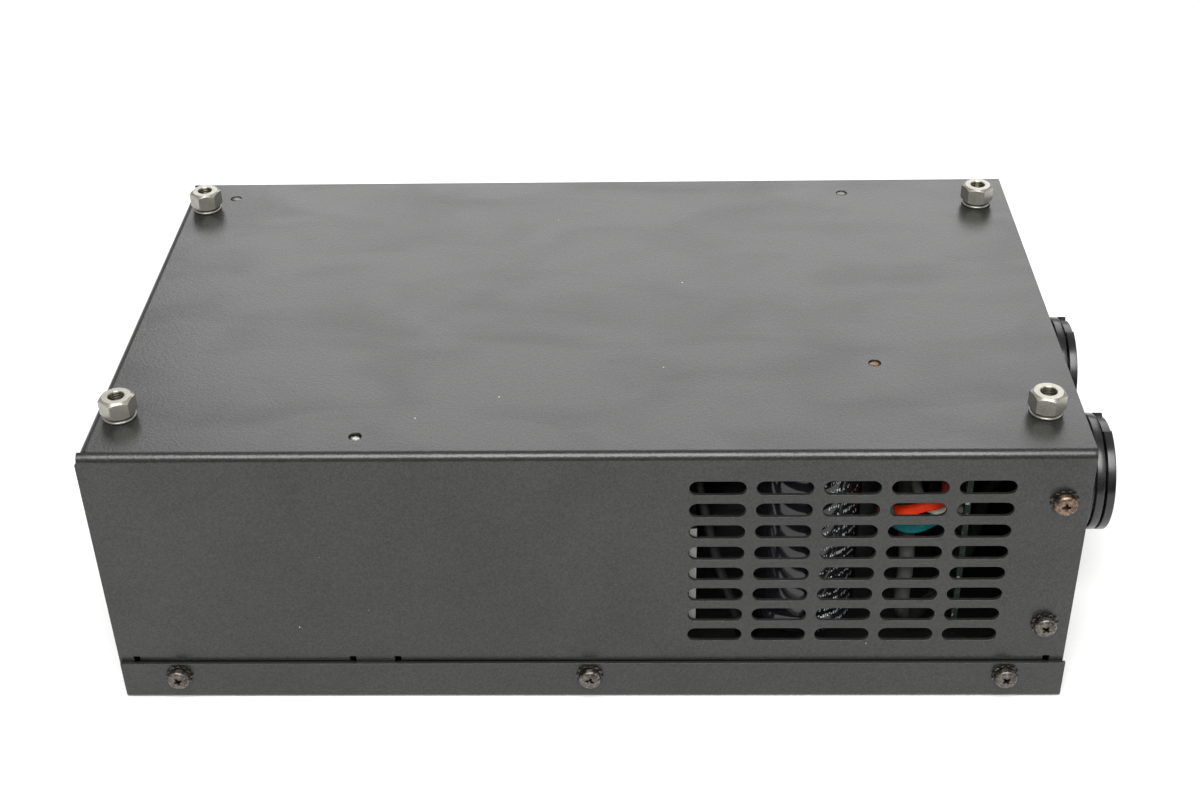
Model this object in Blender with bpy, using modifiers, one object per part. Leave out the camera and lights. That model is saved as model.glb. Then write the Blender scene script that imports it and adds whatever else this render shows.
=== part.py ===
"""Electronics and cooling unit of a cooled astronomy camera.

A folded sheet-metal box stands on its tray cover. It has a slotted vent field in the front wall, four hex
standoffs on the upper panel, and two round bulkhead ports in a separate end panel. Inside are a power supply,
a driver board, a heat sink and a fan that blows out through the back wall.

Units are metres. +Z is up, +X runs along the box towards the ports, and -Y is the vented front.
The origin is the centre of the tray's underside.
"""

import math

import bmesh
import bpy
from mathutils import Matrix, Vector

MM = 0.001
HALF_TURN = math.pi
QUARTER_TURN = math.pi / 2

# ---- Driving dimensions ------------------------------------------------------------------------------------
LENGTH = 292.0 * MM
DEPTH = 169.0 * MM
HEIGHT = 93.0 * MM
SHEET = 1.2 * MM
GAP = 0.3 * MM
BEND_RADIUS = 2.6 * MM

RIGHT = LENGTH / 2
LEFT = -LENGTH / 2
FRONT = -DEPTH / 2
CEILING = HEIGHT - SHEET

# Tray cover: a base with a lip up the front and the back, outside the walls.
LIP_HEIGHT = 14.2 * MM
TRAY_SHIFT = 0.5 * MM
TRAY_BEND_RADIUS = 1.6 * MM

# Front and back walls: vents, laps at the left corners, and joggled flanges behind the tray's lips.
LAP = 0.6 * MM
LAP_DROP = 2.8 * MM
JOGGLE_STEP = 0.8 * MM
JOGGLE_TOP = 14.6 * MM
RELIEF_WIDTH = 1.9 * MM
RELIEF_HEIGHT = 1.4 * MM
FLANGE_SPANS = ((-141.3 * MM, -71.9 * MM), (-59.9 * MM, 141.6 * MM))

SLOT_LENGTH = 16.5 * MM
SLOT_HEIGHT = 5.0 * MM
SLOT_COLUMNS = 5
SLOT_ROWS = 8
SLOT_PITCH_X = 19.35 * MM
SLOT_PITCH_Z = 8.0 * MM
SLOT_FIELD_X = 77.5 * MM
SLOT_FIELD_Z = 52.75 * MM

# End panel: a plate set between the walls, with two flanges folded back along them.
END_FLANGE = 15.0 * MM
END_FLANGE_BOTTOM = 18.0 * MM

# Fasteners: pan-head screws with a captive lock washer.
HEAD_RADIUS = 3.45 * MM
HEAD_HEIGHT = 2.3 * MM
LOCK_WASHER_RADIUS = 4.2 * MM
LOCK_WASHER = 0.7 * MM
THREAD_RADIUS = 1.75 * MM
THREAD_LENGTH = 7.0 * MM
CLEARANCE_RADIUS = THREAD_RADIUS + GAP
COVER_SCREW_X = (-127.5 * MM, 0.5 * MM, 128.5 * MM)
COVER_SCREW_Z = 9.6 * MM
END_SCREW_X = RIGHT - 7.6 * MM
END_SCREW_Z = (29.2 * MM, 75.8 * MM)

# Hex standoffs on the upper panel, each with a male stud and a tapped bore.
STANDOFF_X = (-137.1 * MM, 134.8 * MM)
STANDOFF_Y = (-64.1 * MM, 64.5 * MM)
STANDOFF_FLATS = 9.5 * MM
STANDOFF_HEIGHT = 6.0 * MM
STANDOFF_BORE_RADIUS = 2.15 * MM
STANDOFF_BORE_DEPTH = 5.0 * MM
STANDOFF_STUD_RADIUS = 2.0 * MM
STANDOFF_STUD_LENGTH = 7.0 * MM
STANDOFF_TURNS = (-10.0, 14.5, -14.5, 18.0)
WASHER_RADIUS = 4.75 * MM
WASHER_BORE_RADIUS = 2.5 * MM
WASHER_THICKNESS = 0.7 * MM

# Clinched studs whose ends show in the upper panel.
PANEL_STUDS = (
    (-128.4 * MM, 71.9 * MM),
    (88.5 * MM, 72.6 * MM),
    (88.0 * MM, -37.8 * MM),
    (-66.0 * MM, -75.0 * MM),
)
STUD_RADIUS = 1.4 * MM
STUD_LENGTH = 5.2 * MM
STUD_HOLE_RADIUS = 1.9 * MM

# Round bulkhead ports in the end panel. Heights are along each port's own axis, from the panel's outer face.
PORT_Y = 29.3 * MM
PORT_Z = 45.3 * MM
PORT_RADIUS = 18.8 * MM
PORT_REACH = 19.2 * MM
PORT_STEPS = 24
RIB = 2.75 * MM
GROOVE = 0.6 * MM
GROOVE_RADIUS = 17.4 * MM
BARREL_RADIUS = 14.5 * MM
PANEL_HOLE_RADIUS = 15.0 * MM
NECK_RADIUS = 15.0 * MM
BORE_RADIUS = 13.0 * MM
BARREL_DEPTH = 9.0 * MM
NOTCH_DEPTH = 1.1 * MM
NOTCH_SPAN = math.radians(40.0)
NOTCH_AT = math.radians(81.0)
NUT_FLATS = 36.0 * MM
NUT_THICKNESS = 4.5 * MM
INSERT_THICKNESS = 6.0 * MM
CONTACTS = 5
CONTACT_CIRCLE = 7.0 * MM
CONTACT_RADIUS = 1.2 * MM
CONTACT_LENGTH = 8.0 * MM
CAP_DEPTH = 5.1 * MM
CAP_WALL = 2.0 * MM
POCKET_DEPTH = 2.6 * MM
POCKET_HALF_LENGTH = 7.2 * MM
POCKET_ROWS = (2.4 * MM, 7.6 * MM)

# Driver board, hung under the upper panel on four spacers, and what it carries.
BOARD_TOP = 86.6 * MM
BOARD_THICKNESS = 1.6 * MM
BOARD_UNDER = BOARD_TOP - BOARD_THICKNESS
BOARD_X = (-50.0 * MM, 120.0 * MM)
BOARD_Y = (-79.5 * MM, 79.5 * MM)
SPACERS = (PANEL_STUDS[1], PANEL_STUDS[2], (-45.0 * MM, 74.0 * MM), (-45.0 * MM, -74.0 * MM))
SPACER_RADIUS = 3.0 * MM
CAPACITOR_AT = (66.0 * MM, -63.9 * MM)
CAPACITOR_RADIUS = 17.0 * MM
CAPACITOR_BOTTOM = 21.6 * MM
HEAT_SINK_X = (-15.0 * MM, 33.2 * MM)
HEAT_SINK_Y = (-78.5 * MM, -46.5 * MM)
HEAT_SINK_Z = (21.6 * MM, 61.3 * MM)
HEAT_SINK_BASE = 4.0 * MM
FINS = 7
FIN = 2.2 * MM
SIDE_BOARD_X = 112.5 * MM
SIDE_BOARD_Y = (-78.0 * MM, -22.5 * MM)
SIDE_BOARD_BOTTOM = 19.6 * MM
CHOKE_AT = (15.0 * MM, 15.0 * MM)
CHOKE_RADIUS = 12.0 * MM
CHOKE_WIRE_RADIUS = 5.0 * MM
TERMINAL_X = (86.0 * MM, 109.0 * MM)
TERMINAL_Y = (-62.5 * MM, -50.5 * MM)
TERMINAL_BOTTOM = 71.6 * MM

# Transformer, hung under a mounting plate at the left end.
TRANSFORMER_AT = (-96.0 * MM, 0.0, 59.4 * MM)
CORE_SIZE = (72.0 * MM, 44.0 * MM, 60.0 * MM)
CORE_LEG = 24.0 * MM
CORE_WINDOW = (12.0 * MM, 36.0 * MM)
WINDING_OVERHANG = 9.0 * MM
PLATE_X = (-134.6 * MM, -56.0 * MM)
PLATE_Y = (-79.0 * MM, 79.0 * MM)
PLATE_THICKNESS = 1.5 * MM

# Fan behind the round grille in the back wall.
FAN_X = 77.5 * MM
FAN_Z = 53.5 * MM
FAN_SIZE = 60.0 * MM
FAN_DEPTH = 20.0 * MM
FAN_DUCT_RADIUS = 28.4 * MM
FAN_HUB_RADIUS = 12.2 * MM
FAN_BLADE_TIP = 27.4 * MM
FAN_BLADES = 7
FAN_BLADE = 1.2 * MM
FAN_BLADE_CHORD = 13.0 * MM
FAN_BLADE_PITCH = math.radians(38.0)
FAN_HOLE_OFFSET = 25.0 * MM
FAN_STRUT = 3.5 * MM
FAN_STRUT_DEPTH = 2.0 * MM
FAN_BACK = DEPTH / 2 - SHEET - GAP
GRILLE_RADIUS = 27.0 * MM
GRILLE_WEB = 3.0 * MM

# Leads between the terminal block and the side board, the fan's lead, and the first port's sheathed cable.
# Each route's points are in millimetres.
LEAD_RADIUS = 1.6 * MM
FAN_LEAD_RADIUS = 1.5 * MM
SHEATH_RADIUS = 2.4 * MM
LEAD_SAMPLES = 4
RED_ROUTE = (
    (105.6, -63.0, 78.6), (105.7, -66.3, 78.6), (106.1, -70.9, 78.2), (106.1, -75.1, 76.6),
    (105.7, -77.3, 73.0), (103.8, -77.8, 70.1), (100.2, -77.8, 68.8), (95.8, -77.4, 67.2),
    (92.2, -74.9, 65.0), (89.8, -70.1, 61.2), (91.0, -62.3, 56.0), (98.0, -56.1, 52.9),
    (107.0, -54.6, 51.8), (111.3, -54.5, 51.6),
)
TEAL_ROUTE = (
    (89.5, -63.0, 78.6), (89.3, -66.3, 78.6), (88.4, -71.5, 76.6), (88.6, -76.3, 72.0),
    (89.6, -78.0, 66.0), (92.6, -78.0, 62.2), (97.2, -77.7, 60.7), (101.8, -76.5, 61.4),
    (106.0, -74.3, 62.6), (109.2, -73.7, 62.8), (111.3, -73.7, 62.8),
)
WHITE_ROUTE = (
    (97.5, -63.0, 78.6), (97.5, -66.3, 78.6), (97.5, -69.5, 76.4), (98.1, -71.9, 71.8),
    (100.0, -73.7, 67.6), (103.4, -75.3, 65.8), (107.0, -76.1, 66.2), (109.4, -76.1, 66.8),
    (111.3, -76.1, 66.8),
)
FAN_LEAD_ROUTE = (
    (32.6, -74.5, 83.2), (33.6, -77.1, 76.6), (36.8, -77.7, 60.6), (40.6, -77.7, 44.3),
    (45.4, -77.1, 27.6), (48.0, -73.5, 13.6), (51.0, -62.5, 5.5), (56.0, -40.0, 3.6),
    (64.0, 0.0, 3.6), (72.0, 36.5, 3.8), (76.4, 53.5, 9.0), (77.5, 56.5, 24.0),
    (77.5, 55.5, 40.0), (77.5, 57.5, 47.6), (77.5, 60.1, 49.4), (77.5, 62.6, 49.4),
)
SHEATH_ROUTE = (
    (97.5, -56.5, 71.3), (97.4, -57.7, 65.6), (97.0, -62.5, 59.2), (96.6, -69.5, 55.6),
    (96.4, -74.7, 51.6), (96.4, -76.3, 45.6), (96.2, -76.3, 35.6), (96.8, -74.1, 27.6),
    (100.0, -66.5, 16.6), (107.0, -54.5, 9.6), (116.0, -42.5, 8.6), (124.0, -33.5, 14.6),
    (127.4, -29.8, 26.4), (129.4, -29.3, 37.4), (133.4, -29.3, 44.2), (139.7, -29.3, 45.3),
)


# ---- Scene, collections and materials ----------------------------------------------------------------------
def clear_scene():
    for obj in list(bpy.data.objects):
        bpy.data.objects.remove(obj)


def new_collection(name):
    collection = bpy.data.collections.new(name)
    bpy.context.scene.collection.children.link(collection)
    return collection


def make_material(name, colour, roughness, metallic=0.0):
    material = bpy.data.materials.new(name)
    material.use_nodes = True
    shader = material.node_tree.nodes["Principled BSDF"]
    shader.inputs["Base Color"].default_value = (*colour, 1.0)
    shader.inputs["Roughness"].default_value = roughness
    shader.inputs["Metallic"].default_value = metallic
    material.diffuse_color = (*colour, 1.0)
    return material


clear_scene()
PARTS = new_collection("camera_power_unit")
CUTTERS = new_collection("cutters")

POWDER_COAT = make_material("powder_coat", (0.035, 0.035, 0.034), 0.5)
ZINC = make_material("screw_steel", (0.24, 0.21, 0.18), 0.45, 0.9)
NICKEL = make_material("nickel", (0.62, 0.59, 0.53), 0.25, 1.0)
PORT_PLASTIC = make_material("port_plastic", (0.02, 0.02, 0.022), 0.28)
INSERT_PLASTIC = make_material("insert_plastic", (0.05, 0.05, 0.055), 0.5)
BOARD = make_material("board_laminate", (0.05, 0.16, 0.07), 0.45)
NYLON = make_material("nylon", (0.68, 0.68, 0.64), 0.5)
SHEATH = make_material("cable_sheath", (0.3, 0.3, 0.29), 0.6)
SLEEVE = make_material("capacitor_sleeve", (0.015, 0.015, 0.018), 0.2)
LAMINATION = make_material("core_steel", (0.17, 0.17, 0.18), 0.5, 0.9)
COPPER = make_material("winding_tape", (0.55, 0.33, 0.08), 0.5)
ALUMINIUM = make_material("aluminium", (0.72, 0.73, 0.74), 0.35, 1.0)
FERRITE = make_material("choke_winding", (0.45, 0.17, 0.06), 0.35, 0.7)
FAN_PLASTIC = make_material("fan_plastic", (0.03, 0.03, 0.03), 0.45)
PLATED = make_material("plated_sheet", (0.5, 0.5, 0.48), 0.4, 0.9)
RED = make_material("red_insulation", (0.62, 0.03, 0.02), 0.4)
TEAL = make_material("teal_insulation", (0.0, 0.3, 0.28), 0.4)
WHITE = make_material("white_insulation", (0.6, 0.62, 0.55), 0.4)


# ---- Objects -----------------------------------------------------------------------------------------------
def add_object(name, data, material, location=(0, 0, 0), rotation=(0, 0, 0), parent=None):
    obj = bpy.data.objects.new(name, data)
    obj.location = location
    obj.rotation_euler = rotation
    obj.parent = parent
    if material:
        obj.data.materials.append(material)
        PARTS.objects.link(obj)
    else:
        CUTTERS.objects.link(obj)
        obj.display_type = "WIRE"
        obj.hide_render = True
    return obj


def add_axis(name, location, rotation):
    """An empty on a joint's axis, whose own +Z is the axis."""
    axis = bpy.data.objects.new(name, None)
    axis.location = location
    axis.rotation_euler = rotation
    axis.empty_display_size = 10 * MM
    PARTS.objects.link(axis)
    return axis


def to_mesh(bm, name):
    bmesh.ops.recalc_face_normals(bm, faces=bm.faces)
    mesh = bpy.data.meshes.new(name)
    bm.to_mesh(mesh)
    bm.free()
    return mesh


def block(bm, low, high, matrix=None):
    """Adds a box between two corners."""
    made = bmesh.ops.create_cube(bm, size=1.0)["verts"]
    for vert in made:
        vert.co = [top if side > 0 else bottom for side, bottom, top in zip(vert.co, low, high)]
    if matrix:
        bmesh.ops.transform(bm, matrix=matrix, verts=made)


def rod(bm, centre, radius, length, turn, segments=10):
    """Adds a cylinder whose length runs along +Z after turn, a rotation matrix."""
    placed = Matrix.Translation(centre) @ turn
    bmesh.ops.create_cone(
        bm, cap_ends=True, segments=segments, radius1=radius, radius2=radius, depth=length, matrix=placed
    )


def slot(bm, centre, length, height, depth):
    """Adds a prism through a wall that faces -Y: a slot with round ends, 6 points to each end."""
    points = 12
    first = len(bm.verts)
    turn = Matrix.Rotation(QUARTER_TURN, 4, "X") @ Matrix.Rotation(HALF_TURN / points, 4, "Z")
    rod(bm, (0, 0, 0), height / 2 / math.cos(HALF_TURN / points), depth, turn, points)
    stretch = (length - height) / 2
    bm.verts.ensure_lookup_table()
    for vert in bm.verts[first:]:
        vert.co.x += math.copysign(stretch, vert.co.x)
        vert.co += Vector(centre)


def box_object(name, low, high, material):
    """A box whose object sits at the box's centre."""
    low, high = Vector(low), Vector(high)
    bm = bmesh.new()
    block(bm, (low - high) / 2, (high - low) / 2)
    return add_object(name, to_mesh(bm, name), material, (low + high) / 2)


def sheet_object(name, low, high, open_sides, bends, bend_radius, material):
    """A sheet-metal piece folded from one sheet, its outer faces on a box.

    open_sides are the outward directions left open, and bends tests an edge's middle and its direction.
    """
    bm = bmesh.new()
    block(bm, low, high)
    bm.normal_update()
    spare = [f for f in bm.faces if any(f.normal.dot(Vector(side)) > 0.9 for side in open_sides)]
    bmesh.ops.delete(bm, geom=spare, context="FACES")
    weight = bm.edges.layers.float.new("bevel_weight_edge")
    for edge in bm.edges:
        middle = (edge.verts[0].co + edge.verts[1].co) / 2
        run = (edge.verts[1].co - edge.verts[0].co).normalized()
        edge[weight] = 1.0 if bends(middle, run) else 0.0
    obj = add_object(name, to_mesh(bm, name), material)
    bend = obj.modifiers.new("Bends", "BEVEL")
    bend.limit_method = "WEIGHT"
    bend.width = bend_radius
    bend.segments = 3
    wall = obj.modifiers.new("Sheet", "SOLIDIFY")
    wall.thickness = SHEET
    wall.offset = -1.0
    wall.use_even_offset = True
    return obj


def turned_object(name, profile, steps, material, closed=False, **placing):
    """A profile of (radius, height) points turned about the object's Z. It runs down its outer side."""
    bm = bmesh.new()
    verts = [bm.verts.new((radius, 0.0, height)) for radius, height in profile]
    for first, second in zip(verts, verts[1:]):
        bm.edges.new((first, second))
    if closed:
        bm.edges.new((verts[-1], verts[0]))
    mesh = bpy.data.meshes.new(name)
    bm.to_mesh(mesh)
    bm.free()
    obj = add_object(name, mesh, material, **placing)
    turn = obj.modifiers.new("Turn", "SCREW")
    turn.axis = "Z"
    turn.steps = steps
    turn.render_steps = steps
    turn.merge_threshold = 0.01 * MM
    turn.use_merge_vertices = True
    turn.use_smooth_shade = True
    return obj


def ring_object(name, outer, inner, low, high, steps, material, **placing):
    """A plain ring between two heights of its own axis."""
    profile = [(outer, high), (outer, low), (inner, low), (inner, high)]
    return turned_object(name, profile, steps, material, closed=True, **placing)


def combine(obj, operation, name, build, **placing):
    """Cuts from obj, or joins to it, the shape that build adds to an empty bmesh."""
    bm = bmesh.new()
    build(bm)
    tool = add_object(f"{obj.name}_{name}", to_mesh(bm, name), None, **placing)
    boolean = obj.modifiers.new(name, "BOOLEAN")
    boolean.operation = operation
    boolean.solver = "EXACT"
    boolean.object = tool
    return tool


def cut(obj, name, build, **placing):
    return combine(obj, "DIFFERENCE", name, build, **placing)


def join(obj, name, build, **placing):
    return combine(obj, "UNION", name, build, **placing)


ALONG_X = Matrix.Rotation(QUARTER_TURN, 4, "Y")
ALONG_Y = Matrix.Rotation(QUARTER_TURN, 4, "X")
UPRIGHT = Matrix.Identity(4)
OUT_FRONT = (QUARTER_TURN, 0, 0)
OUT_BACK = (-QUARTER_TURN, 0, 0)
OUT_RIGHT = (0, QUARTER_TURN, 0)


# ---- Enclosure ---------------------------------------------------------------------------------------------
def chassis():
    """Upper panel, front, back and left walls, folded from one sheet and open below and at the right."""
    bottom = SHEET + GAP
    shell = sheet_object(
        "chassis",
        (LEFT + LAP, FRONT, bottom),
        (RIGHT, -FRONT, HEIGHT),
        ((0, 0, -1), (1, 0, 0)),
        lambda middle, run: middle.z > HEIGHT - MM,
        BEND_RADIUS,
        POWDER_COAT,
    )

    def laps(bm):
        for side in (-1, 1):
            outer, inner = side * DEPTH / 2, side * (DEPTH / 2 - SHEET)
            low, high = sorted((outer, inner))
            block(bm, (LEFT, low, bottom), (LEFT + LAP + SHEET / 2, high, HEIGHT - LAP_DROP))

    def flange_backs(bm):
        for side in (-1, 1):
            for start, end in FLANGE_SPANS:
                rows = sorted((side * (DEPTH / 2 - MM), side * (DEPTH / 2 - JOGGLE_STEP - SHEET)))
                block(bm, (start, rows[0], bottom), (end, rows[1], JOGGLE_TOP + SHEET))

    def flange_steps(bm):
        for side in (-1, 1):
            for start, end in FLANGE_SPANS:
                rows = sorted((side * (DEPTH / 2 + MM), side * (DEPTH / 2 - JOGGLE_STEP)))
                block(bm, (start, rows[0], 0), (end, rows[1], JOGGLE_TOP))

    def bend_reliefs(bm):
        for side in (-1, 1):
            for start, end in FLANGE_SPANS:
                for low in (start, end - RELIEF_WIDTH):
                    rows = sorted((side * (DEPTH / 2 + MM), side * (DEPTH / 2 - 3 * SHEET)))
                    low_z, high_z = JOGGLE_TOP - MM, JOGGLE_TOP + RELIEF_HEIGHT
                    block(bm, (low, rows[0], low_z), (low + RELIEF_WIDTH, rows[1], high_z))

    def front_vents(bm):
        for column in range(SLOT_COLUMNS):
            for row in range(SLOT_ROWS):
                x = SLOT_FIELD_X + (column - (SLOT_COLUMNS - 1) / 2) * SLOT_PITCH_X
                z = SLOT_FIELD_Z + (row - (SLOT_ROWS - 1) / 2) * SLOT_PITCH_Z
                slot(bm, (x, FRONT + SHEET / 2, z), SLOT_LENGTH, SLOT_HEIGHT, 4 * SHEET)

    def fan_grille(bm):
        for row in range(-3, 4):
            z = row * SLOT_PITCH_Z
            reach = math.sqrt(GRILLE_RADIUS**2 - z**2)
            length = reach - GRILLE_WEB / 2
            for side in (-1, 1):
                x = FAN_X + side * (GRILLE_WEB + length) / 2
                slot(bm, (x, -FRONT - SHEET / 2, FAN_Z + z), length, SLOT_HEIGHT, 4 * SHEET)

    def wall_holes(bm):
        for side in (-1, 1):
            spots = [(x, COVER_SCREW_Z) for x in COVER_SCREW_X]
            spots += [(END_SCREW_X, z) for z in END_SCREW_Z]
            if side > 0:
                spots += fan_screw_spots()
            for x, z in spots:
                rod(bm, (x, side * (DEPTH / 2 - SHEET), z), CLEARANCE_RADIUS, 4 * SHEET, ALONG_Y)

    def panel_holes(bm):
        for x in STANDOFF_X:
            for y in STANDOFF_Y:
                rod(bm, (x, y, CEILING), STANDOFF_STUD_RADIUS + GAP, 4 * SHEET, UPRIGHT)
        for x, y in PANEL_STUDS:
            rod(bm, (x, y, CEILING), STUD_HOLE_RADIUS, 4 * SHEET, UPRIGHT, 14)

    join(shell, "laps", laps)
    join(shell, "flange_backs", flange_backs)
    cut(shell, "flange_steps", flange_steps)
    cut(shell, "bend_reliefs", bend_reliefs)
    cut(shell, "front_vents", front_vents)
    cut(shell, "fan_grille", fan_grille)
    cut(shell, "wall_holes", wall_holes)
    cut(shell, "panel_holes", panel_holes)


def end_panel():
    """Plate between the walls at the right end, with a flange folded back along each wall."""
    side = DEPTH / 2 - SHEET - GAP
    panel = sheet_object(
        "end_panel",
        (RIGHT - END_FLANGE, -side, SHEET + GAP),
        (RIGHT, side, CEILING - GAP),
        ((0, 0, -1), (0, 0, 1), (-1, 0, 0)),
        lambda middle, run: abs(run.z) > 0.9,
        BEND_RADIUS,
        POWDER_COAT,
    )

    def flange_ends(bm):
        block(bm, (RIGHT - 2 * END_FLANGE, -DEPTH, 0), (RIGHT - 2 * SHEET, DEPTH, END_FLANGE_BOTTOM))

    def top_corners(bm):
        for wall in (-1, 1):
            rows = sorted((wall * (side - BEND_RADIUS), wall * DEPTH))
            low = (RIGHT - 2 * END_FLANGE, rows[0], HEIGHT - BEND_RADIUS - GAP)
            block(bm, low, (RIGHT + MM, rows[1], HEIGHT))

    def port_holes(bm):
        for y in (-PORT_Y, PORT_Y):
            rod(bm, (RIGHT, y, PORT_Z), PANEL_HOLE_RADIUS, 6 * SHEET, ALONG_X, PORT_STEPS)

    def screw_holes(bm):
        for wall in (-1, 1):
            for z in END_SCREW_Z:
                rod(bm, (END_SCREW_X, wall * side, z), CLEARANCE_RADIUS, 6 * SHEET, ALONG_Y)

    cut(panel, "flange_ends", flange_ends)
    cut(panel, "top_corners", top_corners)
    cut(panel, "port_holes", port_holes)
    cut(panel, "screw_holes", screw_holes)


def bottom_cover():
    """Tray that closes the box from below, with a lip outside the front and back walls."""
    side = DEPTH / 2 + GAP + SHEET
    tray = sheet_object(
        "bottom_cover",
        (LEFT + TRAY_SHIFT, -side, 0),
        (RIGHT + TRAY_SHIFT, side, LIP_HEIGHT),
        ((0, 0, 1), (-1, 0, 0), (1, 0, 0)),
        lambda middle, run: abs(run.x) > 0.9 and middle.z < MM,
        TRAY_BEND_RADIUS,
        POWDER_COAT,
    )

    def screw_holes(bm):
        for wall in (-1, 1):
            for x in COVER_SCREW_X:
                rod(bm, (x, wall * side, COVER_SCREW_Z), CLEARANCE_RADIUS, 6 * SHEET, ALONG_Y)

    cut(tray, "screw_holes", screw_holes)


# ---- Fasteners ---------------------------------------------------------------------------------------------
def screw_profile(length):
    """Pan head over a captive lock washer, from the crown of the head down to the end of the thread."""
    top = LOCK_WASHER + HEAD_HEIGHT
    return [
        (0.0, top),
        (0.72 * HEAD_RADIUS, top - 0.12 * HEAD_HEIGHT),
        (HEAD_RADIUS, top - 0.55 * HEAD_HEIGHT),
        (HEAD_RADIUS, LOCK_WASHER),
        (LOCK_WASHER_RADIUS, LOCK_WASHER),
        (LOCK_WASHER_RADIUS, 0.0),
        (THREAD_RADIUS, 0.0),
        (THREAD_RADIUS, -length),
        (0.0, -length),
    ]


def screw(name, x, z, wall, face):
    """A screw through the front wall (wall -1) or the back wall (wall 1). face is its seat's distance."""
    rotation = OUT_FRONT if wall < 0 else OUT_BACK
    location = (x, wall * (face + GAP), z)
    turned_object(name, screw_profile(THREAD_LENGTH), 10, ZINC, location=location, rotation=rotation)


def fan_screw_spots():
    return [
        (FAN_X + right * FAN_HOLE_OFFSET, FAN_Z + up * FAN_HOLE_OFFSET) for right in (-1, 1) for up in (-1, 1)
    ]


def screws():
    lip_face = DEPTH / 2 + GAP + SHEET
    number = 0
    for wall in (-1, 1):
        for x in COVER_SCREW_X:
            number += 1
            screw(f"cover_screw_{number}", x, COVER_SCREW_Z, wall, lip_face)
    number = 0
    for wall in (-1, 1):
        for z in END_SCREW_Z:
            number += 1
            screw(f"end_screw_{number}", END_SCREW_X, z, wall, DEPTH / 2)
    for number, (x, z) in enumerate(fan_screw_spots(), 1):
        screw(f"fan_screw_{number}", x, z, 1, DEPTH / 2)


def hex_prism(bm, flats, low, high):
    rod(bm, (0, 0, (low + high) / 2), flats / math.sqrt(3), high - low, UPRIGHT, 6)


def standoffs():
    """Each hex standoff stands on a plain washer, and its stud goes down through the upper panel."""
    washer_low = HEIGHT + GAP
    base = washer_low + WASHER_THICKNESS + GAP
    spots = [(x, y) for y in STANDOFF_Y for x in STANDOFF_X]
    for number, ((x, y), turn) in enumerate(zip(spots, STANDOFF_TURNS), 1):
        ring_object(
            f"standoff_washer_{number}",
            WASHER_RADIUS,
            WASHER_BORE_RADIUS,
            0.0,
            WASHER_THICKNESS,
            14,
            NICKEL,
            location=(x, y, washer_low),
        )
        bm = bmesh.new()
        hex_prism(bm, STANDOFF_FLATS, 0.0, STANDOFF_HEIGHT)
        name = f"standoff_{number}"
        placing = {"location": (x, y, base), "rotation": (0, 0, math.radians(turn))}
        nut = add_object(name, to_mesh(bm, name), NICKEL, **placing)

        def stud(bm):
            length = STANDOFF_STUD_LENGTH + MM
            rod(bm, (0, 0, MM - length / 2), STANDOFF_STUD_RADIUS, length, UPRIGHT)

        def bore(bm):
            length = STANDOFF_BORE_DEPTH + MM
            rod(bm, (0, 0, STANDOFF_HEIGHT + MM - length / 2), STANDOFF_BORE_RADIUS, length, UPRIGHT, 12)

        join(nut, "stud", stud, **placing)
        cut(nut, "bore", bore, **placing)


def panel_studs():
    for number, (x, y) in enumerate(PANEL_STUDS, 1):
        profile = [(0.0, 0.0), (0.8 * STUD_RADIUS, -0.1 * MM), (STUD_RADIUS, -0.4 * MM)]
        profile += [(STUD_RADIUS, -STUD_LENGTH), (0.0, -STUD_LENGTH)]
        turned_object(f"panel_stud_{number}", profile, 10, NICKEL, location=(x, y, HEIGHT - 0.2 * MM))


# ---- Bulkhead ports ----------------------------------------------------------------------------------------
def port_body_profile():
    """Ribbed collar outside the panel, neck for the lock ring, threaded barrel inside, and a through bore."""
    ribs_top = PORT_REACH - RIB - GROOVE
    profile = [(NECK_RADIUS, PORT_REACH - GROOVE), (NECK_RADIUS, ribs_top)]
    top = ribs_top
    for _ in range(3):
        bottom = top - RIB
        profile += [(PORT_RADIUS, top), (PORT_RADIUS, bottom)]
        profile += [(GROOVE_RADIUS, bottom), (GROOVE_RADIUS, bottom - GROOVE)]
        top = bottom - GROOVE
    profile += [(PORT_RADIUS, top), (PORT_RADIUS, GAP), (BARREL_RADIUS, GAP)]
    profile += [(BARREL_RADIUS, -BARREL_DEPTH), (BORE_RADIUS, -BARREL_DEPTH)]
    profile.append((BORE_RADIUS, PORT_REACH - GROOVE))
    return profile


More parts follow.
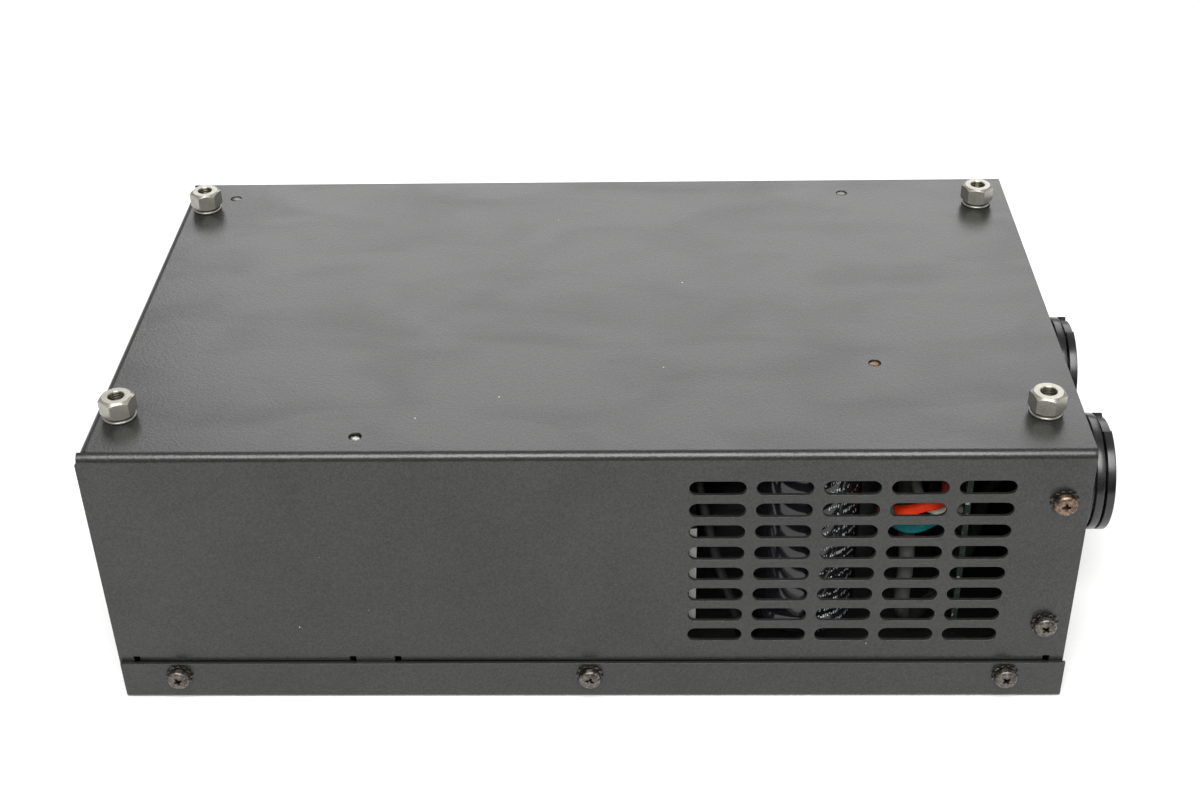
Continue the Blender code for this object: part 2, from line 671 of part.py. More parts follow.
def lock_ring_curve(name):
    """Flat outline of the lock ring: two shallow spanner notches in the rim, and a round hole."""

    def rim(angle):
        for notch in (NOTCH_AT, NOTCH_AT + HALF_TURN):
            offset = math.remainder(angle - notch, 2 * HALF_TURN)
            if abs(offset) < NOTCH_SPAN / 2:
                return PORT_RADIUS - NOTCH_DEPTH
        return PORT_RADIUS

    step = 2 * HALF_TURN / 36
    edge = math.radians(0.5)
    angles = [NOTCH_AT + (i + 0.5) * step for i in range(36)]
    corners = [NOTCH_AT + turn + side * NOTCH_SPAN / 2 for turn in (0, HALF_TURN) for side in (-1, 1)]
    near = [a for a in angles if all(abs(math.remainder(a - c, 2 * HALF_TURN)) > step / 3 for c in corners)]
    edges = [corner + side * edge for corner in corners for side in (-1, 1)]
    angles = sorted(angle % (2 * HALF_TURN) for angle in near + edges)
    # The object's own +X points down and its +Y points along the world's +Y.
    outline = [(-rim(a) * math.sin(a), rim(a) * math.cos(a)) for a in angles]
    inner = NECK_RADIUS + GAP
    turns = [2 * HALF_TURN * i / PORT_STEPS for i in range(PORT_STEPS)]
    hole = [(inner * math.cos(turn), inner * math.sin(turn)) for turn in turns]
    curve = bpy.data.curves.new(name, "CURVE")
    curve.dimensions = "2D"
    curve.fill_mode = "BOTH"
    curve.extrude = RIB / 2
    for points in (outline, hole):
        spline = curve.splines.new("POLY")
        spline.points.add(len(points) - 1)
        for point, (x, y) in zip(spline.points, points):
            point.co = (x, y, 0, 1)
        spline.use_cyclic_u = True
    return curve


def port(number, y):
    axis = add_axis(f"port_{number}_axis", (RIGHT, y, PORT_Z), OUT_RIGHT)
    on_axis = {"parent": axis}
    name = f"port_{number}_body"
    turned_object(name, port_body_profile(), PORT_STEPS, PORT_PLASTIC, closed=True, **on_axis)

    name = f"port_{number}_lock_ring"
    add_object(name, lock_ring_curve(name), PORT_PLASTIC, location=(0, 0, PORT_REACH - RIB / 2), **on_axis)

    nut_top = -SHEET - GAP
    bm = bmesh.new()
    hex_prism(bm, NUT_FLATS, nut_top - NUT_THICKNESS, nut_top)
    name = f"port_{number}_nut"
    nut = add_object(name, to_mesh(bm, name), PORT_PLASTIC, **on_axis)

    def nut_bore(bm):
        rod(bm, (0, 0, 0), BARREL_RADIUS + GAP, 8 * NUT_THICKNESS, UPRIGHT, PORT_STEPS)

    cut(nut, "bore", nut_bore, **on_axis)

    insert_radius = BORE_RADIUS - GAP
    insert_low = -INSERT_THICKNESS
    profile = [(0.0, 0.0), (insert_radius, 0.0), (insert_radius, insert_low), (0.0, insert_low)]
    insert = turned_object(f"port_{number}_insert", profile, 20, INSERT_PLASTIC, **on_axis)

    def contacts(bm):
        for index in range(CONTACTS):
            angle = index * 2 * HALF_TURN / CONTACTS
            across, up = CONTACT_CIRCLE * math.cos(angle), CONTACT_CIRCLE * math.sin(angle)
            rod(bm, (across, up, 0), CONTACT_RADIUS, CONTACT_LENGTH, UPRIGHT, 8)

    join(insert, "contacts", contacts, **on_axis)

    cap_radius = BORE_RADIUS - GAP
    cap_top = PORT_REACH - GROOVE
    low = cap_top - CAP_DEPTH
    profile = [(0.0, cap_top), (cap_radius, cap_top), (cap_radius, low), (cap_radius - CAP_WALL, low)]
    profile += [(cap_radius - CAP_WALL, low + MM), (0.0, low + MM)]
    cap = turned_object(f"port_{number}_cap", profile, 20, PORT_PLASTIC, **on_axis)

    def finger_pockets(bm):
        for side in (-1, 1):
            rows = sorted(side * row for row in POCKET_ROWS)
            low_corner = (-POCKET_HALF_LENGTH, rows[0], cap_top - POCKET_DEPTH)
            block(bm, low_corner, (POCKET_HALF_LENGTH, rows[1], cap_top + MM))

    cut(cap, "finger_pockets", finger_pockets, **on_axis)


# ---- Driver board and what it carries ----------------------------------------------------------------------
def boards():
    under_panel = CEILING - GAP
    high = (BOARD_X[1], BOARD_Y[1], BOARD_TOP)
    box_object("main_board", (BOARD_X[0], BOARD_Y[0], BOARD_UNDER), high, BOARD)
    for number, (x, y) in enumerate(SPACERS, 1):
        name = f"board_spacer_{number}"
        low = BOARD_TOP + GAP
        ring_object(name, SPACER_RADIUS, STUD_RADIUS + GAP, low, under_panel, 12, NYLON, location=(x, y, 0))
    half = BOARD_THICKNESS / 2
    box_object(
        "side_board",
        (SIDE_BOARD_X - half, SIDE_BOARD_Y[0], SIDE_BOARD_BOTTOM),
        (SIDE_BOARD_X + half, SIDE_BOARD_Y[1], BOARD_UNDER - GAP),
        BOARD,
    )


def capacitor():
    """Can capacitor that hangs from the driver board, with a crimped rim at its lower end."""
    top, low, radius = BOARD_UNDER - GAP, CAPACITOR_BOTTOM, CAPACITOR_RADIUS
    profile = [(0.0, top), (radius, top), (radius, low + 7 * MM), (radius - MM, low + 6 * MM)]
    profile += [(radius, low + 5 * MM), (radius, low), (radius - 2 * MM, low), (radius - 2 * MM, low + MM)]
    profile += [(0.0, low + MM)]
    turned_object("filter_capacitor", profile, 28, SLEEVE, location=(*CAPACITOR_AT, 0))


def heat_sink():
    """Finned extrusion on a base plate that reaches up to the driver board."""
    low = (HEAT_SINK_X[0], HEAT_SINK_Y[0], HEAT_SINK_Z[0])
    sink = box_object("heat_sink", low, (HEAT_SINK_X[1], HEAT_SINK_Y[1], BOARD_UNDER - GAP), ALUMINIUM)
    pitch = (HEAT_SINK_X[1] - HEAT_SINK_X[0] - FIN) / (FINS - 1)
    base_front = HEAT_SINK_Y[1] - HEAT_SINK_BASE

    def above_fins(bm):
        block(
            bm,
            (HEAT_SINK_X[0] - MM, HEAT_SINK_Y[0] - MM, HEAT_SINK_Z[1]),
            (HEAT_SINK_X[1] + MM, base_front, BOARD_UNDER + MM),
        )

    def between_fins(bm):
        for index in range(FINS - 1):
            x = HEAT_SINK_X[0] + index * pitch + FIN
            low = (x, HEAT_SINK_Y[0] - MM, HEAT_SINK_Z[0] - MM)
            block(bm, low, (x + pitch - FIN, base_front, HEAT_SINK_Z[1] + MM))

    cut(sink, "above_fins", above_fins)
    cut(sink, "between_fins", between_fins)


def choke():
    """Toroidal choke, flat under the board."""
    bpy.ops.mesh.primitive_torus_add(
        major_radius=CHOKE_RADIUS, minor_radius=CHOKE_WIRE_RADIUS, major_segments=20, minor_segments=8
    )
    made = bpy.context.object
    mesh = made.data
    bpy.data.objects.remove(made)
    mesh.name = "filter_choke"
    place = (*CHOKE_AT, BOARD_UNDER - GAP - CHOKE_WIRE_RADIUS)
    add_object("filter_choke", mesh, FERRITE, location=place)


def terminal_block():
    low = (TERMINAL_X[0], TERMINAL_Y[0], TERMINAL_BOTTOM)
    high = (TERMINAL_X[1], TERMINAL_Y[1], BOARD_UNDER - GAP)
    block_part = box_object("terminal_block", low, high, INSERT_PLASTIC)

    def screw_wells(bm):
        for index in range(3):
            x = TERMINAL_X[0] + (index + 0.5) * (TERMINAL_X[1] - TERMINAL_X[0]) / 3
            rod(bm, (x, sum(TERMINAL_Y) / 2, TERMINAL_BOTTOM), 2.4 * MM, 6 * MM, UPRIGHT)

    cut(block_part, "screw_wells", screw_wells)


def smooth_route(route):
    """Points along a smooth curve through the route's own points, which are in millimetres."""
    points = [Vector(p) * MM for p in route]
    ends = [2 * points[0] - points[1], *points, 2 * points[-1] - points[-2]]
    found = []
    for a, b, c, d in zip(ends, ends[1:], ends[2:], ends[3:]):
        for index in range(LEAD_SAMPLES):
            t = index / LEAD_SAMPLES
            bend = (2 * a - 5 * b + 4 * c - d) * t**2 + (3 * b - a - 3 * c + d) * t**3
            found.append((2 * b + (c - a) * t + bend) / 2)
    found.append(points[-1])
    return found


def lead(name, route, radius, material):
    points = smooth_route(route)
    curve = bpy.data.curves.new(name, "CURVE")
    curve.dimensions = "3D"
    curve.bevel_depth = radius
    curve.bevel_resolution = 2
    curve.use_fill_caps = True
    spline = curve.splines.new("POLY")
    spline.points.add(len(points) - 1)
    for point, place in zip(spline.points, points):
        point.co = (*place, 1)
    add_object(name, curve, material)


# ---- Transformer -------------------------------------------------------------------------------------------
def transformer():
    width, depth, height = CORE_SIZE
    x, y, z = TRANSFORMER_AT
    core = box_object(
        "transformer_core",
        (x - width / 2, y - depth / 2, z - height / 2),
        (x + width / 2, y + depth / 2, z + height / 2),
        LAMINATION,
    )
    window_x, window_z = CORE_WINDOW

    def windows(bm):
        for side in (-1, 1):
            middle = side * (CORE_LEG + window_x) / 2
            low = (x + middle - window_x / 2, y - depth, z - window_z / 2)
            block(bm, low, (x + middle + window_x / 2, y + depth, z + window_z / 2))

    cut(core, "windows", windows)
    reach_x = CORE_LEG / 2 + window_x - GAP
    reach_y = depth / 2 + WINDING_OVERHANG
    reach_z = window_z / 2 - GAP
    low = (x - reach_x, y - reach_y, z - reach_z)
    winding = box_object("transformer_winding", low, (x + reach_x, y + reach_y, z + reach_z), COPPER)
    leg_x, leg_y = CORE_LEG / 2 + GAP, depth / 2 + GAP
    cut(
        winding,
        "leg",
        lambda bm: block(bm, (x - leg_x, y - leg_y, z - height), (x + leg_x, y + leg_y, z + height)),
    )
    top = CEILING - GAP
    low = (PLATE_X[0], PLATE_Y[0], top - PLATE_THICKNESS)
    plate = box_object("transformer_plate", low, (PLATE_X[1], PLATE_Y[1], top), PLATED)

    def stud_holes(bm):
        for spot in (PANEL_STUDS[0], PANEL_STUDS[3]):
            rod(bm, (*spot, top), STUD_RADIUS + GAP, 6 * MM, UPRIGHT)

    cut(plate, "stud_holes", stud_holes)


# ---- Fan ---------------------------------------------------------------------------------------------------
def fan():
    """Axial fan against the back wall. Its motor sits on four struts at the inner side."""
    front = FAN_BACK - FAN_DEPTH
    half = FAN_SIZE / 2
    low = (FAN_X - half, front, FAN_Z - half)
    frame = box_object("fan_frame", low, (FAN_X + half, FAN_BACK, FAN_Z + half), FAN_PLASTIC)
    centre = (FAN_X, (front + FAN_BACK) / 2, FAN_Z)

    def screw_holes(bm):
        for x, z in fan_screw_spots():
            rod(bm, (x, centre[1], z), CLEARANCE_RADIUS, 2 * FAN_DEPTH, ALONG_Y)

    def strut(bm, reach_x, reach_z):
        block(
            bm,
            (FAN_X - reach_x, front, FAN_Z - reach_z),
            (FAN_X + reach_x, front + FAN_STRUT_DEPTH, FAN_Z + reach_z),
        )

    cut(frame, "duct", lambda bm: rod(bm, centre, FAN_DUCT_RADIUS, 2 * FAN_DEPTH, ALONG_Y, 32))
    cut(frame, "screw_holes", screw_holes)
    long, short = half - MM, FAN_STRUT / 2
    join(frame, "level_strut", lambda bm: strut(bm, long, short))
    join(frame, "upright_strut", lambda bm: strut(bm, short, long))
    join(
        frame,
        "motor_base",
        lambda bm: rod(bm, (FAN_X, front + 1.25 * MM, FAN_Z), FAN_HUB_RADIUS, 2.5 * MM, ALONG_Y, 20),
    )

    hub_low = 3.0 * MM
    hub_high = FAN_DEPTH - 2.0 * MM
    axis = add_axis("fan_axis", (FAN_X, front, FAN_Z), OUT_BACK)
    profile = [(0.0, hub_high), (FAN_HUB_RADIUS - MM, hub_high), (FAN_HUB_RADIUS, hub_high - MM)]
    profile += [(FAN_HUB_RADIUS, hub_low), (0.0, hub_low)]
    rotor = turned_object("fan_rotor", profile, 20, FAN_PLASTIC, parent=axis)
    middle = (hub_low + hub_high) / 2

    def blades(bm):
        for index in range(FAN_BLADES):
            around = Matrix.Rotation(2 * HALF_TURN * index / FAN_BLADES, 4, "Z")
            place = Matrix.Translation((0, 0, middle)) @ around @ Matrix.Rotation(FAN_BLADE_PITCH, 4, "X")
            block(
                bm,
                (FAN_HUB_RADIUS - 1.5 * MM, -FAN_BLADE / 2, -FAN_BLADE_CHORD / 2),
                (FAN_BLADE_TIP - FAN_BLADE / 2, FAN_BLADE / 2, FAN_BLADE_CHORD / 2),
                place,
            )

    join(rotor, "blades", blades, parent=axis)


chassis()
end_panel()
bottom_cover()
screws()
standoffs()
panel_studs()
port(1, -PORT_Y)
port(2, PORT_Y)
boards()
capacitor()
heat_sink()
choke()
terminal_block()
transformer()
fan()
lead("lead_red", RED_ROUTE, LEAD_RADIUS, RED)
lead("lead_teal", TEAL_ROUTE, LEAD_RADIUS, TEAL)
lead("lead_white", WHITE_ROUTE, LEAD_RADIUS, WHITE)
lead("fan_lead", FAN_LEAD_ROUTE, FAN_LEAD_RADIUS, FAN_PLASTIC)
lead("port_1_cable", SHEATH_ROUTE, SHEATH_RADIUS, SHEATH)
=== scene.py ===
"""Looks of a cooled astronomy camera's power and cooling unit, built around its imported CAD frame.

Units are metres, in the frame's own axes: +Z up, +X towards the ports, -Y out of the vented wall.
"""

import math

import bmesh
import bpy
from mathutils import Euler, Matrix, Quaternion, Vector
from mathutils.geometry import tessellate_polygon


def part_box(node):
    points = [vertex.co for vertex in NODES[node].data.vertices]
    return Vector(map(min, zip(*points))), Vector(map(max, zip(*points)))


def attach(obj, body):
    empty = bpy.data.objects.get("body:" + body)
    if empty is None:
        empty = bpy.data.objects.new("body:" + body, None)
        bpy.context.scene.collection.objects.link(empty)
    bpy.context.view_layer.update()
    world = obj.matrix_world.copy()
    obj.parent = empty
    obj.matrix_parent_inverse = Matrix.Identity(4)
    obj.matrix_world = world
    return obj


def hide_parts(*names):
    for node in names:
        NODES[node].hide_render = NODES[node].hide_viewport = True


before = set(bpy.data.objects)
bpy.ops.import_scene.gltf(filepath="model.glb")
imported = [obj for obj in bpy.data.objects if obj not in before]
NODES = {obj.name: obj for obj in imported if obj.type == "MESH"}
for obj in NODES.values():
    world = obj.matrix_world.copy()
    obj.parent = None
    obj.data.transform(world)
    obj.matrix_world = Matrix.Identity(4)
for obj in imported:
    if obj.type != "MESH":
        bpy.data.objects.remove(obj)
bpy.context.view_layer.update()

MM = 0.001
FULL_TURN = 2 * math.pi
QUARTER_TURN = math.pi / 2
ROOT = "unit"

# ---- Places and sizes, read from the frame or driving its finer shapes ----
CHASSIS_LOW, CHASSIS_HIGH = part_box("chassis")
TRAY_LOW, TRAY_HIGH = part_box("bottom_cover")
PANEL_LOW, PANEL_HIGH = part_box("end_panel")
SHEET = 1.2 * MM
BEND_RADIUS = 2.6 * MM
TRAY_BEND_RADIUS = 1.6 * MM
BEND_STEPS = 10
EDGE = 0.13 * MM
LAP = 0.6 * MM
LAP_DROP = 2.8 * MM
HEIGHT = CHASSIS_HIGH.z
CHASSIS_BEND = CHASSIS_HIGH.y - BEND_RADIUS
FLAP_BEND = CHASSIS_LOW.x + LAP + BEND_RADIUS

SLOT_LENGTH = 16.5 * MM
SLOT_HEIGHT = 5.0 * MM
SLOT_PITCH_X = 19.35 * MM
SLOT_PITCH_Z = 8.0 * MM
SLOT_FIELD = Vector((77.5 * MM, 52.75 * MM))
GRILLE_AT = Vector((77.5 * MM, 53.5 * MM))
SLOT_COLUMNS = 5
SLOT_ROWS = 8
GRILLE_RADIUS = 27.0 * MM
GRILLE_WEB = 3.0 * MM
GRILLE_ROWS = range(-3, 4)
HOLE_RADIUS = 2.05 * MM
STUD_HOLE_RADIUS = 1.9 * MM

JOGGLE_STEP = 0.8 * MM
JOGGLE_TOP = 14.35 * MM
JOGGLE_RISE = 0.09 * MM
RELIEF_TOP = 16.0 * MM
RELIEF_BOTTOM = 12.6 * MM
RELIEF_WIDTH = 1.9 * MM
SLIT = 0.25 * MM
CORNER_RELIEF = 0.3 * MM
FLANGE_SPANS = ((-141.3 * MM, -71.9 * MM), (-59.9 * MM, 141.6 * MM))

END_FLANGE = 15.0 * MM
END_FLANGE_BOTTOM = 18.0 * MM
PANEL_HOLE_RADIUS = 15.0 * MM

# Screws: sizes, and the angle at which some of them stop.
HEAD_RADIUS = 3.45 * MM
HEAD_HEIGHT = 2.3 * MM
THREAD_RADIUS = 1.75 * MM
THREAD_ROOT_RADIUS = 1.45 * MM
THREAD_PITCH = 0.8 * MM
THREAD_TURNS = 9
SEAT_DEPTH = 7.0 * MM
RECESS_LENGTH = 4.1 * MM
RECESS_WIDTH = 0.95 * MM
RECESS_DEPTH = 1.7 * MM
LOCK_WASHER = 0.7 * MM
LOCK_WASHER_RADIUS = 4.2 * MM
SCREW_TURNS = {
    "cover_screw_1": math.radians(20),
    "cover_screw_2": math.radians(75),
    "cover_screw_3": math.radians(40),
    "end_screw_1": math.radians(55),
    "end_screw_2": math.radians(5),
}
BROWN_SCREW = "end_screw_2"

# Standoffs 1 to 4, in degrees from square, and their washers.
STANDOFF_FLATS = 9.5 * MM
STANDOFF_LAND = 0.445 * STANDOFF_FLATS
STANDOFF_TURNS = (-10.0, 14.5, -14.5, 18.0)
STANDOFF_STUD_RADIUS = 2.0 * MM
STANDOFF_STUD_LENGTH = 6.6 * MM
BORE_RADIUS = 2.35 * MM
BORE_CREST = 2.1 * MM
BORE_PITCH = 0.8 * MM
PLAIN_WASHER_RADIUS = 5.0 * MM
PLAIN_WASHER_BORE = 2.5 * MM

# Panel studs 1 to 4: how far each end lies below its solid's (above it, if negative), and its radius.
STUD_SINKS = (-0.14 * MM, -0.14 * MM, 0.0, 0.35 * MM)
STUD_RADII = (1.86 * MM, 1.86 * MM, 1.86 * MM, 1.66 * MM)

PORT_RADIUS = 18.8 * MM
PORT_NECK = 15.0 * MM
PORT_GROOVE_RADIUS = 17.4 * MM
PORT_BORE = 13.0 * MM
PORT_BARREL = 14.5 * MM
PORT_DEPTH = 9.0 * MM
RIB = 2.75 * MM
GROOVE = 0.6 * MM
NOTCH_DEPTH = 1.1 * MM
NOTCH_SPAN = math.radians(40.0)
NOTCH_AT = math.radians(81.0)

# The leads' painted shade: everything above a height is darker. Leads that end at the board are also darker
# to the right of a place.
SHADE_ABOVE_HEIGHT = 72.6 * MM
WHITE_SHADE_ABOVE_HEIGHT = 68.6 * MM
DARK_END_LEFT = 107.6 * MM

# ---- Camera, lights and stage ----
CAMERA_AT = Vector((0.01732, -0.4854, 0.38726))
CAMERA_TOWARDS = Vector((-0.02444, 0.823549, -0.566719))
CAMERA_ROLL = math.radians(-1.2495)
CAMERA_LENS = 52.55
AMBIENT = 0.34
LIT_POINT = Vector((0, 0, 0.05))
# Each softbox: its place, size and radiance.
LIGHTS = {
    "backdrop": ((0.06, 1.5, 1.15), (1.6, 1.3), 2.8),
    "key": ((0.0, -1.0, 1.5), (1.5, 1.05), 10.5),
    "side": ((1.5, -0.35, 0.55), (0.9, 0.9), 1.6),
}
FLOOR_SIZE = (12.0, 12.0)
FLAG_SIZE = (1.6, 0.16)
FLAG_AT = (0, -0.38, 0.082)


# ---- Materials ----
class Finish:
    """A Principled material, with short ways to give it procedural texture. Sizes are in metres."""

    def __init__(self, name, colour, roughness, metallic=0.0):
        self.material = bpy.data.materials.new(name)
        self.material.use_nodes = True
        self.tree = self.material.node_tree
        self.shader = self.tree.nodes["Principled BSDF"]
        self.place = self.add("ShaderNodeTexCoord").outputs["Object"]
        self.normal = None
        self.put("Base Color", (*colour, 1.0))
        self.put("Roughness", roughness)
        self.put("Metallic", metallic)

    def add(self, kind, **settings):
        node = self.tree.nodes.new(kind)
        for key, value in settings.items():
            setattr(node, key, value)
        return node

    def feed(self, socket, value):
        if isinstance(value, bpy.types.NodeSocket):
            self.tree.links.new(value, socket)
        else:
            socket.default_value = value

    def put(self, name, value):
        self.feed(self.shader.inputs[name], value)

    def stretched(self, stretch):
        mapping = self.add("ShaderNodeMapping")
        self.feed(mapping.inputs["Vector"], self.place)
        mapping.inputs["Scale"].default_value = stretch
        return mapping.outputs["Vector"]

    def noise(self, size, detail=3.0, stretch=None, distortion=0.0):
        node = self.add("ShaderNodeTexNoise")
        self.feed(node.inputs["Vector"], self.stretched(stretch) if stretch else self.place)
        node.inputs["Scale"].default_value = 1.0 / size
        node.inputs["Detail"].default_value = detail
        node.inputs["Distortion"].default_value = distortion
        return node.outputs["Fac"]

    def cells(self, size, feature="F1", output="Distance"):
        node = self.add("ShaderNodeTexVoronoi", feature=feature)
        self.feed(node.inputs["Vector"], self.place)
        node.inputs["Scale"].default_value = 1.0 / size
        return node.outputs[output]

    def bands(self, size, direction="Z", distortion=0.0):
        node = self.add("ShaderNodeTexWave", bands_direction=direction)
        self.feed(node.inputs["Vector"], self.place)
        node.inputs["Scale"].default_value = FULL_TURN / 20.0 / size
        node.inputs["Distortion"].default_value = distortion
        return node.outputs["Fac"]

    def axis(self, name):
        node = self.add("ShaderNodeSeparateXYZ")
        self.feed(node.inputs[0], self.place)
        return node.outputs[name]

    def square(self, name):
        return self.calc("POWER", self.calc("ABSOLUTE", self.axis(name)), 2.0)

    def spread(self, value, low, high, to_low=0.0, to_high=1.0):
        node = self.add("ShaderNodeMapRange")
        for socket, given in zip(node.inputs, (value, low, high, to_low, to_high)):
            self.feed(socket, given)
        return node.outputs["Result"]

    def calc(self, operation, first, second=0.0):
        node = self.add("ShaderNodeMath", operation=operation)
        self.feed(node.inputs[0], first)
        self.feed(node.inputs[1], second)
        return node.outputs[0]

    def mix(self, factor, first, second):
        node = self.add("ShaderNodeMix", data_type="RGBA")
        colours = [(*c, 1.0) if isinstance(c, tuple) else c for c in (first, second)]
        self.feed(node.inputs["Factor"], factor)
        self.feed(node.inputs[6], colours[0])
        self.feed(node.inputs[7], colours[1])
        return node.outputs[2]

    def bump(self, height, depth):
        node = self.add("ShaderNodeBump")
        node.inputs["Distance"].default_value = depth
        node.inputs["Strength"].default_value = 1.0
        self.feed(node.inputs["Height"], height)
        if self.normal:
            self.feed(node.inputs["Normal"], self.normal)
        self.normal = node.outputs["Normal"]
        self.put("Normal", self.normal)

    def rounded(self, radius):
        """Softens the look of hard corners."""
        node = self.add("ShaderNodeBevel", samples=4)
        node.inputs["Radius"].default_value = radius
        self.normal = node.outputs["Normal"]
        self.put("Normal", self.normal)


def powder_coat():
    """Black polyester powder, satin, with a fine grain, faint handling marks and a few specks of dust."""
    coat = Finish("powder_coat", (0.024, 0.024, 0.024), 0.3)
    marks = coat.spread(coat.noise(42 * MM, 5.0, stretch=(1.0, 2.2, 1.0), distortion=0.6), 0.42, 0.7)
    grain = coat.noise(0.55 * MM, 1.5)
    flecks = coat.spread(grain, 0.3, 0.75)
    colour = coat.mix(flecks, (0.0115, 0.012, 0.0112), (0.0228, 0.0236, 0.022))
    dust = coat.spread(coat.cells(14 * MM), 0.011, 0.018, 1.0, 0.0)
    coat.put("Base Color", coat.mix(dust, colour, (0.5, 0.5, 0.47)))
    worn = coat.spread(marks, 0.0, 1.0, 0.5, 0.43)
    sparkle = coat.spread(flecks, 0.0, 1.0, -0.05, 0.05)
    coat.put("Specular IOR Level", coat.calc("ADD", worn, sparkle))
    coat.put("Roughness", coat.spread(marks, 0.0, 1.0, 0.28, 0.32))
    coat.bump(coat.noise(0.9 * MM, 2.0), 0.055 * MM)
    coat.bump(grain, 0.012 * MM)
    return coat.material


def nickel():
    """Plated steel with fine scratches, a slightly warm, uneven tone, and painted shade in its bore."""
    metal = Finish("nickel_plate", (0.3, 0.29, 0.25), 0.3, 0.62)
    tone = metal.noise(4 * MM, 4.0)
    plate = metal.mix(metal.spread(tone, 0.35, 0.7), (0.33, 0.322, 0.28), (0.25, 0.242, 0.205))
    # Painted shade: near the axis the colour turns dark, which darkens the tapped bore and the hidden stud
    # below.
    across = metal.calc("POWER", metal.calc("ADD", metal.square("X"), metal.square("Y")), 0.5)
    bore_shade = metal.calc("LESS_THAN", across, 2.4 * MM)
    metal.put("Base Color", metal.mix(bore_shade, plate, (0.07, 0.062, 0.045)))
    scratches = metal.noise(0.8 * MM, 4.0, stretch=(1.0, 1.0, 0.4))
    metal.put("Roughness", metal.spread(scratches, 0.3, 0.75, 0.26, 0.38))
    metal.rounded(0.16 * MM)
    metal.bump(scratches, 0.006 * MM)
    return metal.material


def screw_steel(name, dark, bright, worn):
    """Zinc-plated screw steel, stained and rubbed on its high spots."""
    metal = Finish(name, bright, 0.4, 1.0)
    stains = metal.noise(1.6 * MM, 5.0, distortion=0.6)
    colour = metal.mix(metal.spread(stains, 0.38, 0.62), dark, bright)
    rub = metal.noise(0.6 * MM, 3.0)
    metal.put("Base Color", metal.mix(metal.spread(rub, 0.55, 0.75), colour, worn))
    metal.put("Roughness", metal.spread(stains, 0.3, 0.7, 0.3, 0.52))
    metal.bump(rub, 0.03 * MM)
    return metal.material


def port_plastic():
    """Black nylon moulding, semi-gloss, with a faint grain."""
    plastic = Finish("port_plastic", (0.014, 0.014, 0.015), 0.3)
    grain = plastic.noise(0.45 * MM, 3.0)
    marks = plastic.noise(9 * MM, 4.0)
    paler = plastic.spread(marks, 0.4, 0.75)
    plastic.put("Base Color", plastic.mix(paler, (0.008, 0.008, 0.009), (0.02, 0.02, 0.02)))
    plastic.put("Roughness", plastic.spread(marks, 0.3, 0.7, 0.2, 0.3))
    plastic.bump(grain, 0.012 * MM)
    return plastic.material


def moulded(name, colour, roughness):
    """Plain moulded plastic: slightly uneven colour and a fine grain."""
    plastic = Finish(name, colour, roughness)
    tone = plastic.noise(6 * MM, 3.0)
    lighter = tuple(min(1.0, c * 1.35 + 0.01) for c in colour)
    plastic.put("Base Color", plastic.mix(plastic.spread(tone, 0.35, 0.7), colour, lighter))
    plastic.put("Roughness", plastic.spread(tone, 0.3, 0.7, roughness - 0.05, roughness + 0.08))
    plastic.bump(plastic.noise(0.6 * MM, 2.0), 0.02 * MM)
    return plastic.material


def board_laminate():
    """Solder mask over copper tracks, with tinned pads."""
    board = Finish("board_laminate", (0.01, 0.03, 0.016), 0.35)
    tracks = board.cells(5 * MM, "DISTANCE_TO_EDGE")
    mask = board.mix(board.spread(tracks, 0.05, 0.09), (0.01, 0.022, 0.014), (0.005, 0.012, 0.008))
    pads = board.spread(board.cells(3.1 * MM), 0.16, 0.19, 1.0, 0.0)
    board.put("Base Color", board.mix(pads, mask, (0.22, 0.22, 0.21)))
    board.put("Roughness", board.spread(tracks, 0.0, 0.2, 0.3, 0.42))
    board.put("Specular IOR Level", 0.2)
    board.bump(board.spread(tracks, 0.05, 0.09, 1.0, 0.0), 0.04 * MM)
    return board.material


def bare_laminate():
    """The cut edge of a glass-fibre board."""
    edge = Finish("board_edge", (0.08, 0.08, 0.074), 0.6)
    fibres = edge.noise(0.25 * MM, 3.0, stretch=(1.0, 0.2, 1.0))
    edge.put("Base Color", edge.mix(fibres, (0.028, 0.028, 0.026), (0.07, 0.07, 0.065)))
    edge.put("Specular IOR Level", 0.15)
    edge.bump(fibres, 0.03 * MM)
    return edge.material


